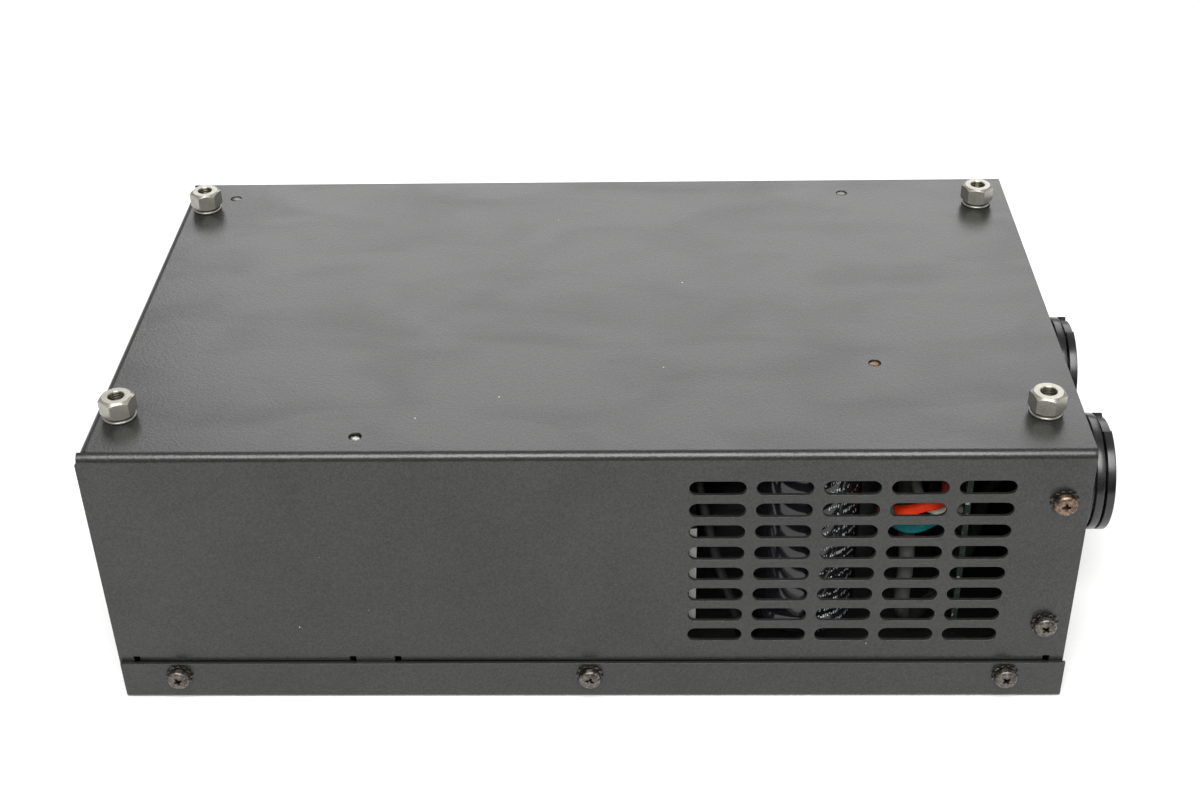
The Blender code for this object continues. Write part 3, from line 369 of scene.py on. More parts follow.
def capacitor_sleeve():
    """Shrunk glossy sleeve with rows of plain pale strokes printed on its front, which spell nothing."""
    sleeve = Finish("capacitor_sleeve", (0.012, 0.012, 0.014), 0.07)
    around = sleeve.calc("ARCTAN2", sleeve.axis("Y"), sleeve.axis("X"))
    print_from, print_to = math.radians(-86), math.radians(-30)
    inside = sleeve.calc(
        "MULTIPLY",
        sleeve.calc("GREATER_THAN", around, print_from),
        sleeve.calc("LESS_THAN", around, print_to),
    )
    row_pitch = 3.0 * MM
    row = sleeve.calc("LESS_THAN", sleeve.calc("PINGPONG", sleeve.axis("Z"), row_pitch / 2), 0.6 * MM)
    across = sleeve.calc("PINGPONG", around, math.radians(1.3))
    stroke = sleeve.calc("LESS_THAN", across, math.radians(0.75))
    line = sleeve.calc("FLOOR", sleeve.calc("DIVIDE", sleeve.axis("Z"), row_pitch))
    combined = sleeve.add("ShaderNodeCombineXYZ")
    sleeve.feed(combined.inputs[0], sleeve.calc("MULTIPLY", around, 11.0))
    sleeve.feed(combined.inputs[1], sleeve.calc("MULTIPLY", line, 3.7))
    groups = sleeve.add("ShaderNodeTexNoise")
    groups.inputs["Scale"].default_value = 1.6
    sleeve.feed(groups.inputs["Vector"], combined.outputs[0])
    group = sleeve.calc("GREATER_THAN", groups.outputs["Fac"], 0.52)
    placed = sleeve.calc("MULTIPLY", inside, row)
    printed = sleeve.calc("MULTIPLY", placed, sleeve.calc("MULTIPLY", stroke, group))
    sleeve.put("Base Color", sleeve.mix(printed, (0.01, 0.01, 0.012), (0.55, 0.57, 0.57)))
    sleeve.put("Roughness", sleeve.spread(sleeve.noise(4 * MM), 0.3, 0.7, 0.08, 0.13))
    sleeve.bump(sleeve.noise(5 * MM, 1.0), 0.06 * MM)
    return sleeve.material


def extruded_aluminium():
    """Drawn aluminium with fine lines along it."""
    metal = Finish("extruded_aluminium", (0.3, 0.3, 0.31), 0.4, 1.0)
    lines = metal.noise(0.5 * MM, 4.0, stretch=(1.0, 1.0, 0.04))
    metal.put("Roughness", metal.spread(lines, 0.3, 0.7, 0.32, 0.5))
    metal.put("Base Color", metal.mix(lines, (0.19, 0.19, 0.18), (0.4, 0.4, 0.385)))
    metal.bump(lines, 0.03 * MM)
    metal.rounded(0.15 * MM)
    return metal.material


def laminations():
    """A stack of varnished core plates."""
    core = Finish("core_laminations", (0.12, 0.12, 0.13), 0.45, 0.8)
    plates = core.bands(0.5 * MM, "Y")
    rust = core.noise(7 * MM, 5.0)
    core.put("Base Color", core.mix(core.spread(rust, 0.5, 0.75), (0.11, 0.11, 0.12), (0.16, 0.09, 0.05)))
    core.put("Roughness", core.spread(plates, 0.0, 1.0, 0.35, 0.6))
    core.bump(plates, 0.08 * MM)
    return core.material


def winding_tape():
    """Amber polyester tape wrapped round a coil, with its laps and small wrinkles."""
    tape = Finish("winding_tape", (0.5, 0.3, 0.06), 0.3)
    laps = tape.bands(9 * MM, "Z", 0.4)
    wrinkles = tape.noise(2.2 * MM, 4.0, stretch=(1.0, 1.0, 2.6))
    tape.put("Base Color", tape.mix(tape.spread(laps, 0.4, 0.6), (0.42, 0.25, 0.05), (0.55, 0.34, 0.08)))
    tape.put("Roughness", tape.spread(wrinkles, 0.3, 0.7, 0.2, 0.4))
    tape.bump(wrinkles, 0.12 * MM)
    tape.rounded(1.2 * MM)
    return tape.material


def enamelled_wire():
    """Turns of enamelled copper wire laid round a ring core, with painted shade between the turns."""
    wire = Finish("enamelled_wire", (0.5, 0.18, 0.06), 0.25, 0.7)
    around = wire.calc("ARCTAN2", wire.axis("Y"), wire.axis("X"))
    turns = wire.calc("PINGPONG", around, math.radians(2.6))
    height = wire.spread(turns, 0.0, math.radians(2.6))
    # Painted shade: the colour darkens in the grooves between turns.
    wire.put("Base Color", wire.mix(height, (0.16, 0.05, 0.02), (0.62, 0.24, 0.08)))
    wire.bump(height, 0.4 * MM)
    return wire.material


def zinc_sheet():
    """Zinc-plated sheet with a faint spangle."""
    zinc = Finish("zinc_sheet", (0.6, 0.6, 0.57), 0.36, 1.0)
    spangle = zinc.cells(3.5 * MM, output="Color")
    zinc.put("Roughness", zinc.spread(spangle, 0.0, 1.0, 0.3, 0.46))
    zinc.put("Base Color", zinc.mix(spangle, (0.52, 0.52, 0.48), (0.66, 0.66, 0.62)))
    zinc.bump(zinc.noise(0.8 * MM), 0.01 * MM)
    return zinc.material


def insulation(name, colour, roughness, shade_above_height=SHADE_ABOVE_HEIGHT, ends_at_board=False):
    """Wire insulation: slightly uneven, with fine drawn-in marks, painted shade above a height, and darker
    ends towards the board on some leads.
    """
    skin = Finish(name, colour, roughness)
    tone = skin.noise(2.5 * MM, 3.0)
    darker = tuple(c * 0.7 for c in colour)
    drawn = skin.mix(skin.spread(tone, 0.3, 0.7), darker, colour)
    # Painted shade: a much darker copy of the colour above a height. Leads that end at the board are also
    # darker to the right of a place.
    painted_shade_and_dark_end = skin.calc(
        "MAXIMUM",
        skin.calc("GREATER_THAN", skin.axis("Z"), shade_above_height),
        skin.calc("MULTIPLY", skin.calc("GREATER_THAN", skin.axis("X"), DARK_END_LEFT), float(ends_at_board)),
    )
    skin.put("Base Color", skin.mix(painted_shade_and_dark_end, drawn, tuple(c * 0.16 for c in colour)))
    skin.put("Roughness", skin.spread(tone, 0.3, 0.7, roughness - 0.06, roughness + 0.1))
    skin.put("Specular IOR Level", 0.2)
    skin.bump(skin.noise(0.5 * MM, 2.0), 0.03 * MM)
    return skin.material


def floor_paper():
    """Plain white paper with a faint fibre."""
    paper = Finish("floor_paper", (0.9, 0.9, 0.895), 0.8)
    fibres = paper.noise(2 * MM, 5.0)
    paper.put("Base Color", paper.mix(fibres, (0.785, 0.785, 0.78), (0.815, 0.815, 0.81)))
    paper.bump(fibres, 0.01 * MM)
    return paper.material


COAT = powder_coat()
NICKEL = nickel()
SCREW_GREY = screw_steel("screw_grey", (0.06, 0.05, 0.043), (0.16, 0.145, 0.13), (0.34, 0.31, 0.28))
SCREW_BROWN = screw_steel("screw_brown", (0.08, 0.05, 0.036), (0.24, 0.172, 0.128), (0.45, 0.36, 0.28))
STUD_STEEL = screw_steel("stud_steel", (0.1, 0.1, 0.092), (0.17, 0.17, 0.16), (0.3, 0.3, 0.28))
STUD_BRIGHT = screw_steel("stud_bright", (0.2, 0.2, 0.19), (0.55, 0.55, 0.53), (0.8, 0.8, 0.78))
STUD_BRASS = screw_steel("stud_brass", (0.08, 0.05, 0.028), (0.2, 0.14, 0.08), (0.42, 0.33, 0.21))
STUD_MATERIALS = (STUD_STEEL, STUD_STEEL, STUD_BRASS, STUD_BRIGHT)
WASHER_STEEL = screw_steel("washer_steel", (0.035, 0.033, 0.03), (0.09, 0.085, 0.08), (0.2, 0.19, 0.18))
PORT = port_plastic()
INSERT = moulded("insert_plastic", (0.045, 0.045, 0.05), 0.5)
FAN = moulded("fan_plastic", (0.02, 0.02, 0.021), 0.42)
TERMINAL = moulded("terminal_plastic", (0.012, 0.013, 0.014), 0.5)
NYLON = moulded("nylon", (0.62, 0.62, 0.57), 0.5)
BOARD = board_laminate()
BOARD_EDGE = bare_laminate()
SLEEVE = capacitor_sleeve()
ALUMINIUM = extruded_aluminium()
CORE = laminations()
TAPE = winding_tape()
COPPER = enamelled_wire()
ZINC = zinc_sheet()
RED = insulation("red_insulation", (0.74, 0.032, 0.002), 0.5, ends_at_board=True)
TEAL = insulation("teal_insulation", (0.0, 0.125, 0.135), 0.45, ends_at_board=True)
WHITE = insulation("white_insulation", (0.42, 0.43, 0.36), 0.5, WHITE_SHADE_ABOVE_HEIGHT, True)
BLACK_LEAD = insulation("black_insulation", (0.009, 0.009, 0.0095), 0.5)
SHEATH = insulation("cable_sheath", (0.055, 0.055, 0.05), 0.55)
CERAMIC = moulded("ceramic", (0.5, 0.48, 0.38), 0.45)

# Parts on the side board, in millimetres: how far right of and behind its corner, how high, and how big.
SMALL_PARTS = (
    (0.45, -0.3, 70.6, (1.3, 0.7, 1.3), CERAMIC),
    (-0.55, 11.0, 57.0, (1.0, 1.6, 3.2), TERMINAL),
    (-1.15, 12.0, 45.0, (2.2, 6.0, 7.0), TERMINAL),
    (-0.55, 9.0, 33.0, (1.0, 1.6, 3.2), TERMINAL),
)


# ---- Pieces ----
def centre_of(node):
    low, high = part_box(node)
    return (low + high) / 2


def new_object(name, data):
    made = bpy.data.objects.new(name, data)
    bpy.context.scene.collection.objects.link(made)
    return made


def add_piece(name, data, material, slot, nodes=(), body=ROOT, location=(0, 0, 0), rotation=None):
    """A visible piece that rides on a body, and stands for CAD nodes."""
    piece = new_object(name, data)
    piece.location = location
    if rotation:
        piece.rotation_mode = "QUATERNION"
        piece.rotation_quaternion = rotation
    if len(data.materials) == 0:
        data.materials.append(material)
    piece.material_slots[0].link = "OBJECT"
    piece.material_slots[0].material = material
    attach(piece, body)
    if nodes:
        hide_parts(*nodes)
    return piece


def to_mesh(bm, name, smooth=True, sharp=None):
    """A mesh whose corners stay sharp from an angle on, in degrees, if one is given."""
    bmesh.ops.recalc_face_normals(bm, faces=bm.faces)
    mesh = bpy.data.meshes.new(name)
    bm.to_mesh(mesh)
    bm.free()
    if smooth:
        mesh.shade_smooth()
    if sharp:
        mesh.set_sharp_from_angle(angle=math.radians(sharp))
    return mesh


def keep_flats_flat(piece):
    normals = piece.modifiers.new("Flat faces", "WEIGHTED_NORMAL")
    normals.keep_sharp = True


def paint(material, *names):
    """Gives CAD nodes their material."""
    for name in names:
        node = NODES[name]
        node.data.materials.clear()
        node.data.materials.append(material)


def smooth_corners(angle, *names):
    for name in names:
        NODES[name].data.shade_smooth()
        NODES[name].data.set_sharp_from_angle(angle=math.radians(angle))


# ---- Flat sheets with rounded edges ----
def inward(loop, depth):
    """A closed loop of 2D points, with each one moved to the loop's left, along its mitre."""
    moved = []
    for before, point, after in zip(loop[-1:] + loop[:-1], loop, loop[1:] + loop[:1]):
        first, second = (point - before).normalized(), (after - point).normalized()
        left = Vector((-first.y - second.y, first.x + second.x))
        moved.append(point + left * (depth / (1.0 + first.dot(second))))
    return moved


def blank(loops, thickness, edge=EDGE, steps=2):
    """A flat sheet below z = 0 with rounded edges. Its outline runs anticlockwise, its holes clockwise."""
    bm = bmesh.new()
    angles = [QUARTER_TURN * i / steps for i in range(steps + 1)]
    profile = [(edge * (1 - math.sin(a)), edge * (1 - math.cos(a))) for a in angles]
    profile += [(into, thickness - below) for into, below in reversed(profile)]
    rims = []
    for loop in loops:
        rings = [[bm.verts.new((*p, -below)) for p in inward(loop, into)] for into, below in profile]
        for upper, lower in zip(rings, rings[1:]):
            for i, j in zip(range(len(loop)), [*range(1, len(loop)), 0]):
                bm.faces.new((upper[i], lower[i], lower[j], upper[j]))
        rims.append((rings[0], rings[-1]))
    for side in (0, 1):
        faces = [rim[side] for rim in rims]
        verts = [vert for face in faces for vert in face]
        for corners in tessellate_polygon([[vert.co for vert in face] for face in faces]):
            bm.faces.new([verts[i] for i in corners])
    return bm


def circle(centre, radius, points=32, clockwise=True):
    sign = -1 if clockwise else 1
    angles = [sign * FULL_TURN * i / points for i in range(points)]
    return [Vector(centre) + radius * Vector((math.cos(a), math.sin(a))) for a in angles]


def slot_loop(centre, length, height, points=11):
    """A clockwise loop: a slot along the first axis, with round ends."""
    radius = height / 2
    stretch = length / 2 - radius
    loop = []
    for side in (1, -1):
        for i in range(points):
            angle = side * QUARTER_TURN - math.pi * i / (points - 1)
            round_end = radius * Vector((math.cos(angle), math.sin(angle)))
            loop.append(Vector(centre) + Vector((side * stretch, 0)) + round_end)
    return loop


def cut_across(bm, axis, places):
    """Adds edges where planes cross the sheet, so that it can bend there."""
    normal = Vector((axis == 0, axis == 1, 0))
    for place in places:
        everything = bm.verts[:] + bm.edges[:] + bm.faces[:]
        bmesh.ops.bisect_plane(bm, geom=everything, dist=0.001 * MM, plane_co=normal * place, plane_no=normal)


def bend_places(start, bend=BEND_RADIUS):
    arc = bend * QUARTER_TURN
    return [start + arc * i / BEND_STEPS for i in range(BEND_STEPS + 1)]


def fold(across, thickness, start, bend=BEND_RADIUS):
    """Where a point of the sheet goes when both sides fold back at start: (across, depth behind the face)."""
    side = math.copysign(1.0, across)
    beyond = abs(across) - start
    if beyond <= 0:
        return across, thickness
    angle = min(beyond / bend, QUARTER_TURN)
    radius = bend - thickness
    rest = max(0.0, beyond - bend * QUARTER_TURN)
    return side * (start + radius * math.sin(angle)), bend - radius * math.cos(angle) + rest


def across_at(start, depth, bend=BEND_RADIUS):
    """How far across the flat sheet a point lies that ends up at this depth on a folded side."""
    return start + bend * QUARTER_TURN + depth - bend


def smooth_step(value):
    value = min(1.0, max(0.0, value))
    return value * value * (3 - 2 * value)


# ---- Chassis, tray and end panel ----
def wall_at(z):
    """How far across the chassis blank a point lies that ends up at this height on a wall."""
    return across_at(CHASSIS_BEND, HEIGHT - z)


def chassis_outline():
    """The chassis blank: a foot with bend reliefs along both walls, and a flap that becomes the left end."""
    left, right, bottom = CHASSIS_LOW.x, CHASSIS_HIGH.x, CHASSIS_LOW.z
    foot = [Vector((left, bottom))]
    for first, last in FLANGE_SPANS:
        notch = [(0, bottom), (0, RELIEF_TOP), (RELIEF_WIDTH, RELIEF_TOP), (RELIEF_WIDTH, RELIEF_BOTTOM)]
        notch += [(SLIT, RELIEF_BOTTOM), (SLIT, bottom)]
        foot += [Vector((first + x, z)) for x, z in notch]
        foot += [Vector((last - x, z)) for x, z in reversed(notch)]
    foot.append(Vector((right, bottom)))
    corner = left + LAP
    flap_end = FLAP_BEND - (wall_at(bottom) - CHASSIS_BEND)
    outside, inside_bend = CHASSIS_BEND + CORNER_RELIEF, CHASSIS_BEND - CORNER_RELIEF / 2
    lap_top = HEIGHT - LAP_DROP
    shoulder = [(left, wall_at(lap_top - LAP / 2)), (corner, wall_at(lap_top + LAP / 2)), (corner, outside)]
    shoulder += [(FLAP_BEND, outside), (FLAP_BEND, inside_bend), (flap_end, inside_bend)]
    outline = [Vector((p.x, -wall_at(p.y))) for p in foot]
    outline += [Vector((p.x, wall_at(p.y))) for p in reversed(foot)]
    outline += [Vector(p) for p in shoulder]
    outline += [Vector((x, -y)) for x, y in reversed(shoulder)]
    return outline


def chassis_holes():
    """Vent slots in the front wall, the fan's grille in the back wall, and every screw and stud hole."""
    loops = []
    for column in range(SLOT_COLUMNS):
        for row in range(SLOT_ROWS):
            x = SLOT_FIELD.x + (column - (SLOT_COLUMNS - 1) / 2) * SLOT_PITCH_X
            z = SLOT_FIELD.y + (row - (SLOT_ROWS - 1) / 2) * SLOT_PITCH_Z
            loops.append(slot_loop((x, -wall_at(z)), SLOT_LENGTH, SLOT_HEIGHT))
    for row in GRILLE_ROWS:
        drop = row * SLOT_PITCH_Z
        length = math.sqrt(GRILLE_RADIUS**2 - drop**2) - GRILLE_WEB / 2
        for side in (-1, 1):
            x = GRILLE_AT.x + side * (GRILLE_WEB + length) / 2
            loops.append(slot_loop((x, wall_at(GRILLE_AT.y + drop)), length, SLOT_HEIGHT))
    for node in NODES:
        if node.startswith(("cover_screw", "end_screw", "fan_screw")):
            middle = centre_of(node)
            loops.append(circle((middle.x, math.copysign(wall_at(middle.z), middle.y)), HOLE_RADIUS, 20))
        elif node.startswith("panel_stud"):
            loops.append(circle(centre_of(node).xy, STUD_HOLE_RADIUS, 28))
    return loops


def chassis():
    """One sheet, folded at both long sides and its left end, with a joggled flange at each wall's foot."""
    bm = blank([chassis_outline(), *chassis_holes()], SHEET)
    joggle = [wall_at(JOGGLE_TOP - JOGGLE_RISE * i / 3) for i in range(4)]
    places = bend_places(CHASSIS_BEND) + joggle
    cut_across(bm, 1, [side * place for side in (-1, 1) for place in places])
    cut_across(bm, 0, [2 * FLAP_BEND - place for place in bend_places(FLAP_BEND)])
    for vert in bm.verts:
        x, thickness = vert.co.x, -vert.co.z
        y, depth = fold(vert.co.y, thickness, CHASSIS_BEND)
        if x < FLAP_BEND and abs(vert.co.y) < CHASSIS_BEND:
            x, depth = fold(FLAP_BEND - x, thickness, 0.0)
            x = FLAP_BEND - x
        z = HEIGHT - depth
        on_flange = any(first + SLIT / 2 < x < last - SLIT / 2 for first, last in FLANGE_SPANS)
        if on_flange and abs(y) > CHASSIS_BEND and z < JOGGLE_TOP:
            y -= math.copysign(JOGGLE_STEP * smooth_step((JOGGLE_TOP - z) / JOGGLE_RISE), y)
        vert.co = (x, y, z)
    mesh = to_mesh(bm, "chassis_sheet")
    keep_flats_flat(add_piece("chassis_sheet", mesh, COAT, "powder_coat", ["chassis"]))


def tray():
    """The base, with a lip folded up outside the front and back walls."""
    bend = TRAY_BEND_RADIUS
    start = TRAY_HIGH.y - bend
    rim = across_at(start, TRAY_HIGH.z, bend)
    corners = [(TRAY_LOW.x, -rim), (TRAY_HIGH.x, -rim), (TRAY_HIGH.x, rim), (TRAY_LOW.x, rim)]
    loops = [[Vector(corner) for corner in corners]]
    for number in range(1, 7):
        middle = centre_of(f"cover_screw_{number}")
        place = math.copysign(across_at(start, middle.z, bend), middle.y)
        loops.append(circle((middle.x, place), HOLE_RADIUS, 20))
    bm = blank(loops, SHEET)
    cut_across(bm, 1, [side * place for side in (-1, 1) for place in bend_places(start, bend)])
    for vert in bm.verts:
        y, depth = fold(vert.co.y, -vert.co.z, start, bend)
        vert.co = (vert.co.x, y, depth)
    keep_flats_flat(add_piece("tray_sheet", to_mesh(bm, "tray_sheet"), COAT, "powder_coat", ["bottom_cover"]))


def end_panel():
    """Here the sheet's first axis is Z, and it folds back along -X."""
    start = PANEL_HIGH.y - BEND_RADIUS
    rim = across_at(start, END_FLANGE)
    neck = start + BEND_RADIUS * QUARTER_TURN
    low, high = PANEL_LOW.z, PANEL_HIGH.z
    half = [(low, neck), (END_FLANGE_BOTTOM, neck), (END_FLANGE_BOTTOM, rim), (high, rim)]
    outline = [Vector((z, -y)) for z, y in half] + [Vector((z, y)) for z, y in reversed(half)]
    loops = [outline]
    for number in (1, 2):
        middle = centre_of(f"port_{number}_nut")
        loops.append(circle((middle.z, middle.y), PANEL_HOLE_RADIUS, 64))
    for number in range(1, 5):
        middle = centre_of(f"end_screw_{number}")
        place = math.copysign(across_at(start, PANEL_HIGH.x - middle.x), middle.y)
        loops.append(circle((middle.z, place), HOLE_RADIUS, 20))
    bm = blank(loops, SHEET)
    cut_across(bm, 1, [side * place for side in (-1, 1) for place in bend_places(start)])
    for vert in bm.verts:
        y, depth = fold(vert.co.y, -vert.co.z, start)
        vert.co = (PANEL_HIGH.x - depth, y, vert.co.x)
    keep_flats_flat(add_piece("end_sheet", to_mesh(bm, "end_sheet"), COAT, "powder_coat", ["end_panel"]))


# ---- Turned shapes and fasteners ----
def turned(profile, steps):
    """A closed solid: a profile of (radius, height) turned about Z."""
    bm = bmesh.new()
    rings = []
    for radius, height in profile:
        if radius == 0:
            rings.append([bm.verts.new((0, 0, height))])
            continue
        angles = [FULL_TURN * i / steps for i in range(steps)]
        rings.append([bm.verts.new((radius * math.cos(a), radius * math.sin(a), height)) for a in angles])
    for upper, lower in zip(rings, rings[1:]):
        for i, j in zip(range(steps), [*range(1, steps), 0]):
            corners = [upper[i % len(upper)], lower[i % len(lower)]]
            corners += [lower[j % len(lower)], upper[j % len(upper)]]
            bm.faces.new(list(dict.fromkeys(corners)))
    return bm


def carve(mesh, cutter):
    """The mesh with the cutter's shape taken out of it."""
    solid, tool = new_object("solid", mesh), new_object("tool", cutter)
    boolean = solid.modifiers.new("Carve", "BOOLEAN")
    boolean.object = tool
    boolean.solver = "EXACT"
    carved = bpy.data.meshes.new_from_object(solid.evaluated_get(bpy.context.evaluated_depsgraph_get()))
    for obj in (solid, tool):
        bpy.data.objects.remove(obj)
    carved.shade_smooth()
    carved.set_sharp_from_angle(angle=math.radians(38))
    return carved


def screw_mesh():
    """Pan head with a cross recess, down to the lock washer, and its thread."""
    top = LOCK_WASHER + HEAD_HEIGHT
    angles = (0, 0.35, 0.7, 1.0)
    crown = [(HEAD_RADIUS * math.sin(a) * 0.98, top - 0.5 * MM * (1 - math.cos(a))) for a in angles]
    profile = crown + [
        (HEAD_RADIUS * 0.94, top - 0.55 * MM),
        (HEAD_RADIUS, top - 1.0 * MM),
        (HEAD_RADIUS, LOCK_WASHER + 0.15 * MM),
        (HEAD_RADIUS * 0.96, LOCK_WASHER),
        (THREAD_RADIUS, LOCK_WASHER),
    ]
    for turn in range(THREAD_TURNS):
        low = -turn * THREAD_PITCH
        profile += [(THREAD_RADIUS, low), (THREAD_ROOT_RADIUS, low - THREAD_PITCH / 2)]
    tip = -THREAD_TURNS * THREAD_PITCH
    profile += [(1.3 * MM, tip), (0, tip)]
    head = to_mesh(turned(profile, 40), "pan_head")
    pit = bmesh.new()
    bmesh.ops.create_cone(
        pit, cap_ends=True, segments=16, radius1=0.4 * MM, radius2=1.25 * MM, depth=3.0 * MM,
        matrix=Matrix.Translation((0, 0, top)),
    )
    head = carve(head, to_mesh(pit, "recess_pit", smooth=False))
    for quarter in (0, 1):
        arm = bmesh.new()
        bmesh.ops.create_cube(arm, size=1.0)
        for vert in arm.verts:
            taper, narrow = (1.0, 1.0) if vert.co.z > 0 else (0.3, 0.75)
            length, width = RECESS_LENGTH * taper, RECESS_WIDTH * narrow
            vert.co = (vert.co.x * length, vert.co.y * width, top + vert.co.z * 2 * RECESS_DEPTH)
        bmesh.ops.rotate(arm, verts=arm.verts[:], matrix=Matrix.Rotation(quarter * QUARTER_TURN, 3, "Z"))
        head = carve(head, to_mesh(arm, "recess_arm", smooth=False))
    return head


def lock_washer_mesh():
    """Toothed lock washer: each tooth is twisted out of the ring's plane."""
    teeth = 12
    loop = []
    for tooth in range(teeth):
        for part, radius in ((0.0, 0.86), (0.12, 1.0), (0.52, 1.0), (0.64, 0.86)):
            angle = FULL_TURN * (tooth + part) / teeth
            loop.append(LOCK_WASHER_RADIUS * radius * Vector((math.cos(angle), math.sin(angle))))
    bm = blank([loop, circle((0, 0), 2.0 * MM, 24)], 0.35 * MM, 0.06 * MM, 1)
    for vert in bm.verts:
        part = (math.atan2(vert.co.y, vert.co.x) / FULL_TURN * teeth) % 1.0
        out = smooth_step((vert.co.xy.length - 0.7 * LOCK_WASHER_RADIUS) / (0.25 * LOCK_WASHER_RADIUS))
        vert.co.z += 0.52 * MM + out * (part - 0.32) * 0.5 * MM
    return to_mesh(bm, "lock_washer")


def screws():
    """Each screw keeps its seat and direction, and stops at its own angle."""
    head, washer = screw_mesh(), lock_washer_mesh()
    names = sorted(n for n in NODES if n.startswith(("cover_screw", "end_screw", "fan_screw")))
    for index, name in enumerate(names):
        low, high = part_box(name)
        middle = (low + high) / 2
        front = middle.y < 0
        seat = high.y - SEAT_DEPTH if front else low.y + SEAT_DEPTH
        facing = Euler((QUARTER_TURN if front else -QUARTER_TURN, 0, 0)).to_quaternion()
        facing = facing @ Quaternion((0, 0, 1), SCREW_TURNS.get(name, 0.7 * index))
        material = SCREW_BROWN if name == BROWN_SCREW else SCREW_GREY
        place = {"location": (middle.x, seat, middle.z), "rotation": facing}
        piece = add_piece(f"{name}_head", head, material, "screw_steel", [name], **place)
        piece.data.shade_smooth()
        keep_flats_flat(add_piece(f"{name}_washer", washer, WASHER_STEEL, "screw_steel", **place))


def hex_rim(angle):
    """The standoff's radius at an angle, with a flat facing +X."""
    return STANDOFF_FLATS / 2 / math.cos((angle + math.pi / 6) % (math.pi / 3) - math.pi / 6)


def standoff_mesh(height):
    """Hex standoff, chamfered at both ends, with a countersunk tapped bore and a stud below."""
    slope = math.tan(math.radians(32))
    steps = 72
    angles = [FULL_TURN * i / steps for i in range(steps)]
    bm = bmesh.new()

    def chamfer(angle):
        return max(0.0, hex_rim(angle) - STANDOFF_LAND) * slope + 0.12 * MM

    def ring(place):
        found = []
        for angle in angles:
            radius, up = place(angle)
            found.append(bm.verts.new((radius * math.cos(angle), radius * math.sin(angle), up)))
        return found

    def thread(radius, turn):
        return ring(lambda a: (radius, height - BORE_PITCH * (turn + a / FULL_TURN) - 0.15 * MM))

    rings = [
        ring(lambda a: (STANDOFF_STUD_RADIUS, -STANDOFF_STUD_LENGTH)),
        ring(lambda a: (STANDOFF_STUD_RADIUS, 0)),
        ring(lambda a: (STANDOFF_LAND, 0)),
        ring(lambda a: (hex_rim(a), chamfer(a))),
        ring(lambda a: (hex_rim(a), height - chamfer(a))),
        ring(lambda a: (STANDOFF_LAND, height)),
        ring(lambda a: (BORE_RADIUS + 0.2 * MM, height)),
    ]
    for turn in range(5):
        rings += [thread(BORE_CREST, turn + 0.25), thread(BORE_RADIUS, turn + 0.75)]
    for low, high in zip(rings, rings[1:]):
        for i, j in zip(range(steps), [*range(1, steps), 0]):
            bm.faces.new((low[i], low[j], high[j], high[i]))
    bm.faces.new(rings[0])
    bm.faces.new(rings[-1])
    return to_mesh(bm, "hex_standoff", sharp=24)


def standoffs():
    """Each standoff stands on a plain washer with rolled edges."""
    for number, turn in enumerate(STANDOFF_TURNS, 1):
        name = f"standoff_{number}"
        washer_low, washer_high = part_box(f"standoff_washer_{number}")
        thickness = washer_high.z - washer_low.z
        middle = (washer_low + washer_high) / 2
        base = washer_high.z + 0.15 * MM
        mesh = standoff_mesh(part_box(name)[1].z - base)
        rotation = Quaternion((0, 0, 1), math.radians(turn))
        add_piece(f"{name}_hex", mesh, NICKEL, "nickel", [name], ROOT, (middle.x, middle.y, base), rotation)
        loops = [circle((0, 0), PLAIN_WASHER_RADIUS, 56, False), circle((0, 0), PLAIN_WASHER_BORE, 32)]
        ring = to_mesh(blank(loops, thickness, 0.3 * MM, 3), "plain_washer")
        washer = add_piece(
            f"standoff_washer_{number}_ring", ring, NICKEL, "nickel", [f"standoff_washer_{number}"],
            location=(middle.x, middle.y, washer_high.z - 0.1 * MM),
        )
        keep_flats_flat(washer)


def panel_studs():
    """Domed stud ends in the upper panel, each at its own height."""
    for number, (sink, radius, material) in enumerate(zip(STUD_SINKS, STUD_RADII, STUD_MATERIALS), 1):
        name = f"panel_stud_{number}"
        low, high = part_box(name)
        middle = (low + high) / 2
        high.z -= sink
        profile = [(0, 0), (0.35 * radius, -0.02 * MM), (0.8 * radius, -0.12 * MM), (radius, -0.4 * MM)]
        profile += [(radius, low.z - high.z), (0, low.z - high.z)]
        mesh = to_mesh(turned(profile, 28), "stud_end", sharp=50)
        add_piece(f"{name}_end", mesh, material, "nickel", [name], location=(middle.x, middle.y, high.z))


# ---- Ports ----
def rounded_rib(bottom, top, radius, inner):
    """One rib of a turned profile, from its top down, with rounded corners."""
    corner = 0.35 * MM
    angles = [QUARTER_TURN * i / 3 for i in range(4)]
    upper = [(radius - corner * (1 - math.sin(a)), top - corner * (1 - math.cos(a))) for a in angles]
    lower = [(radius - corner * (1 - math.cos(a)), bottom + corner * (1 - math.sin(a))) for a in angles]
    return [(inner, top), *upper, *lower, (inner, bottom)]


def collar_mesh(reach):
    """Four ribs, the neck that carries the lock ring, and the barrel behind the panel, all bored through."""
    top = reach - RIB - GROOVE
    profile = [(PORT_BORE, reach - GROOVE), (PORT_NECK, reach - GROOVE), (PORT_NECK, top)]
    for _ in range(3):
        profile += rounded_rib(top - RIB, top, PORT_RADIUS, PORT_GROOVE_RADIUS)
        top -= RIB + GROOVE
    profile += rounded_rib(0.3 * MM, top, PORT_RADIUS, PORT_GROOVE_RADIUS)
    profile += [(PORT_BARREL, 0.3 * MM), (PORT_BARREL, -PORT_DEPTH), (PORT_BORE, -PORT_DEPTH)]
    profile.append((PORT_BORE, reach - GROOVE))
    return to_mesh(turned(profile, 96), "port_collar", sharp=50)


def lock_rim(angle):
    """The lock ring's radius at an angle: two shallow notches, opposite each other."""
    for notch in (NOTCH_AT, NOTCH_AT + math.pi):
        beyond = abs(math.remainder(angle - notch, FULL_TURN)) - NOTCH_SPAN / 2
        if beyond < 0:
            return PORT_RADIUS - NOTCH_DEPTH * smooth_step(-beyond / math.radians(1.6))
    return PORT_RADIUS


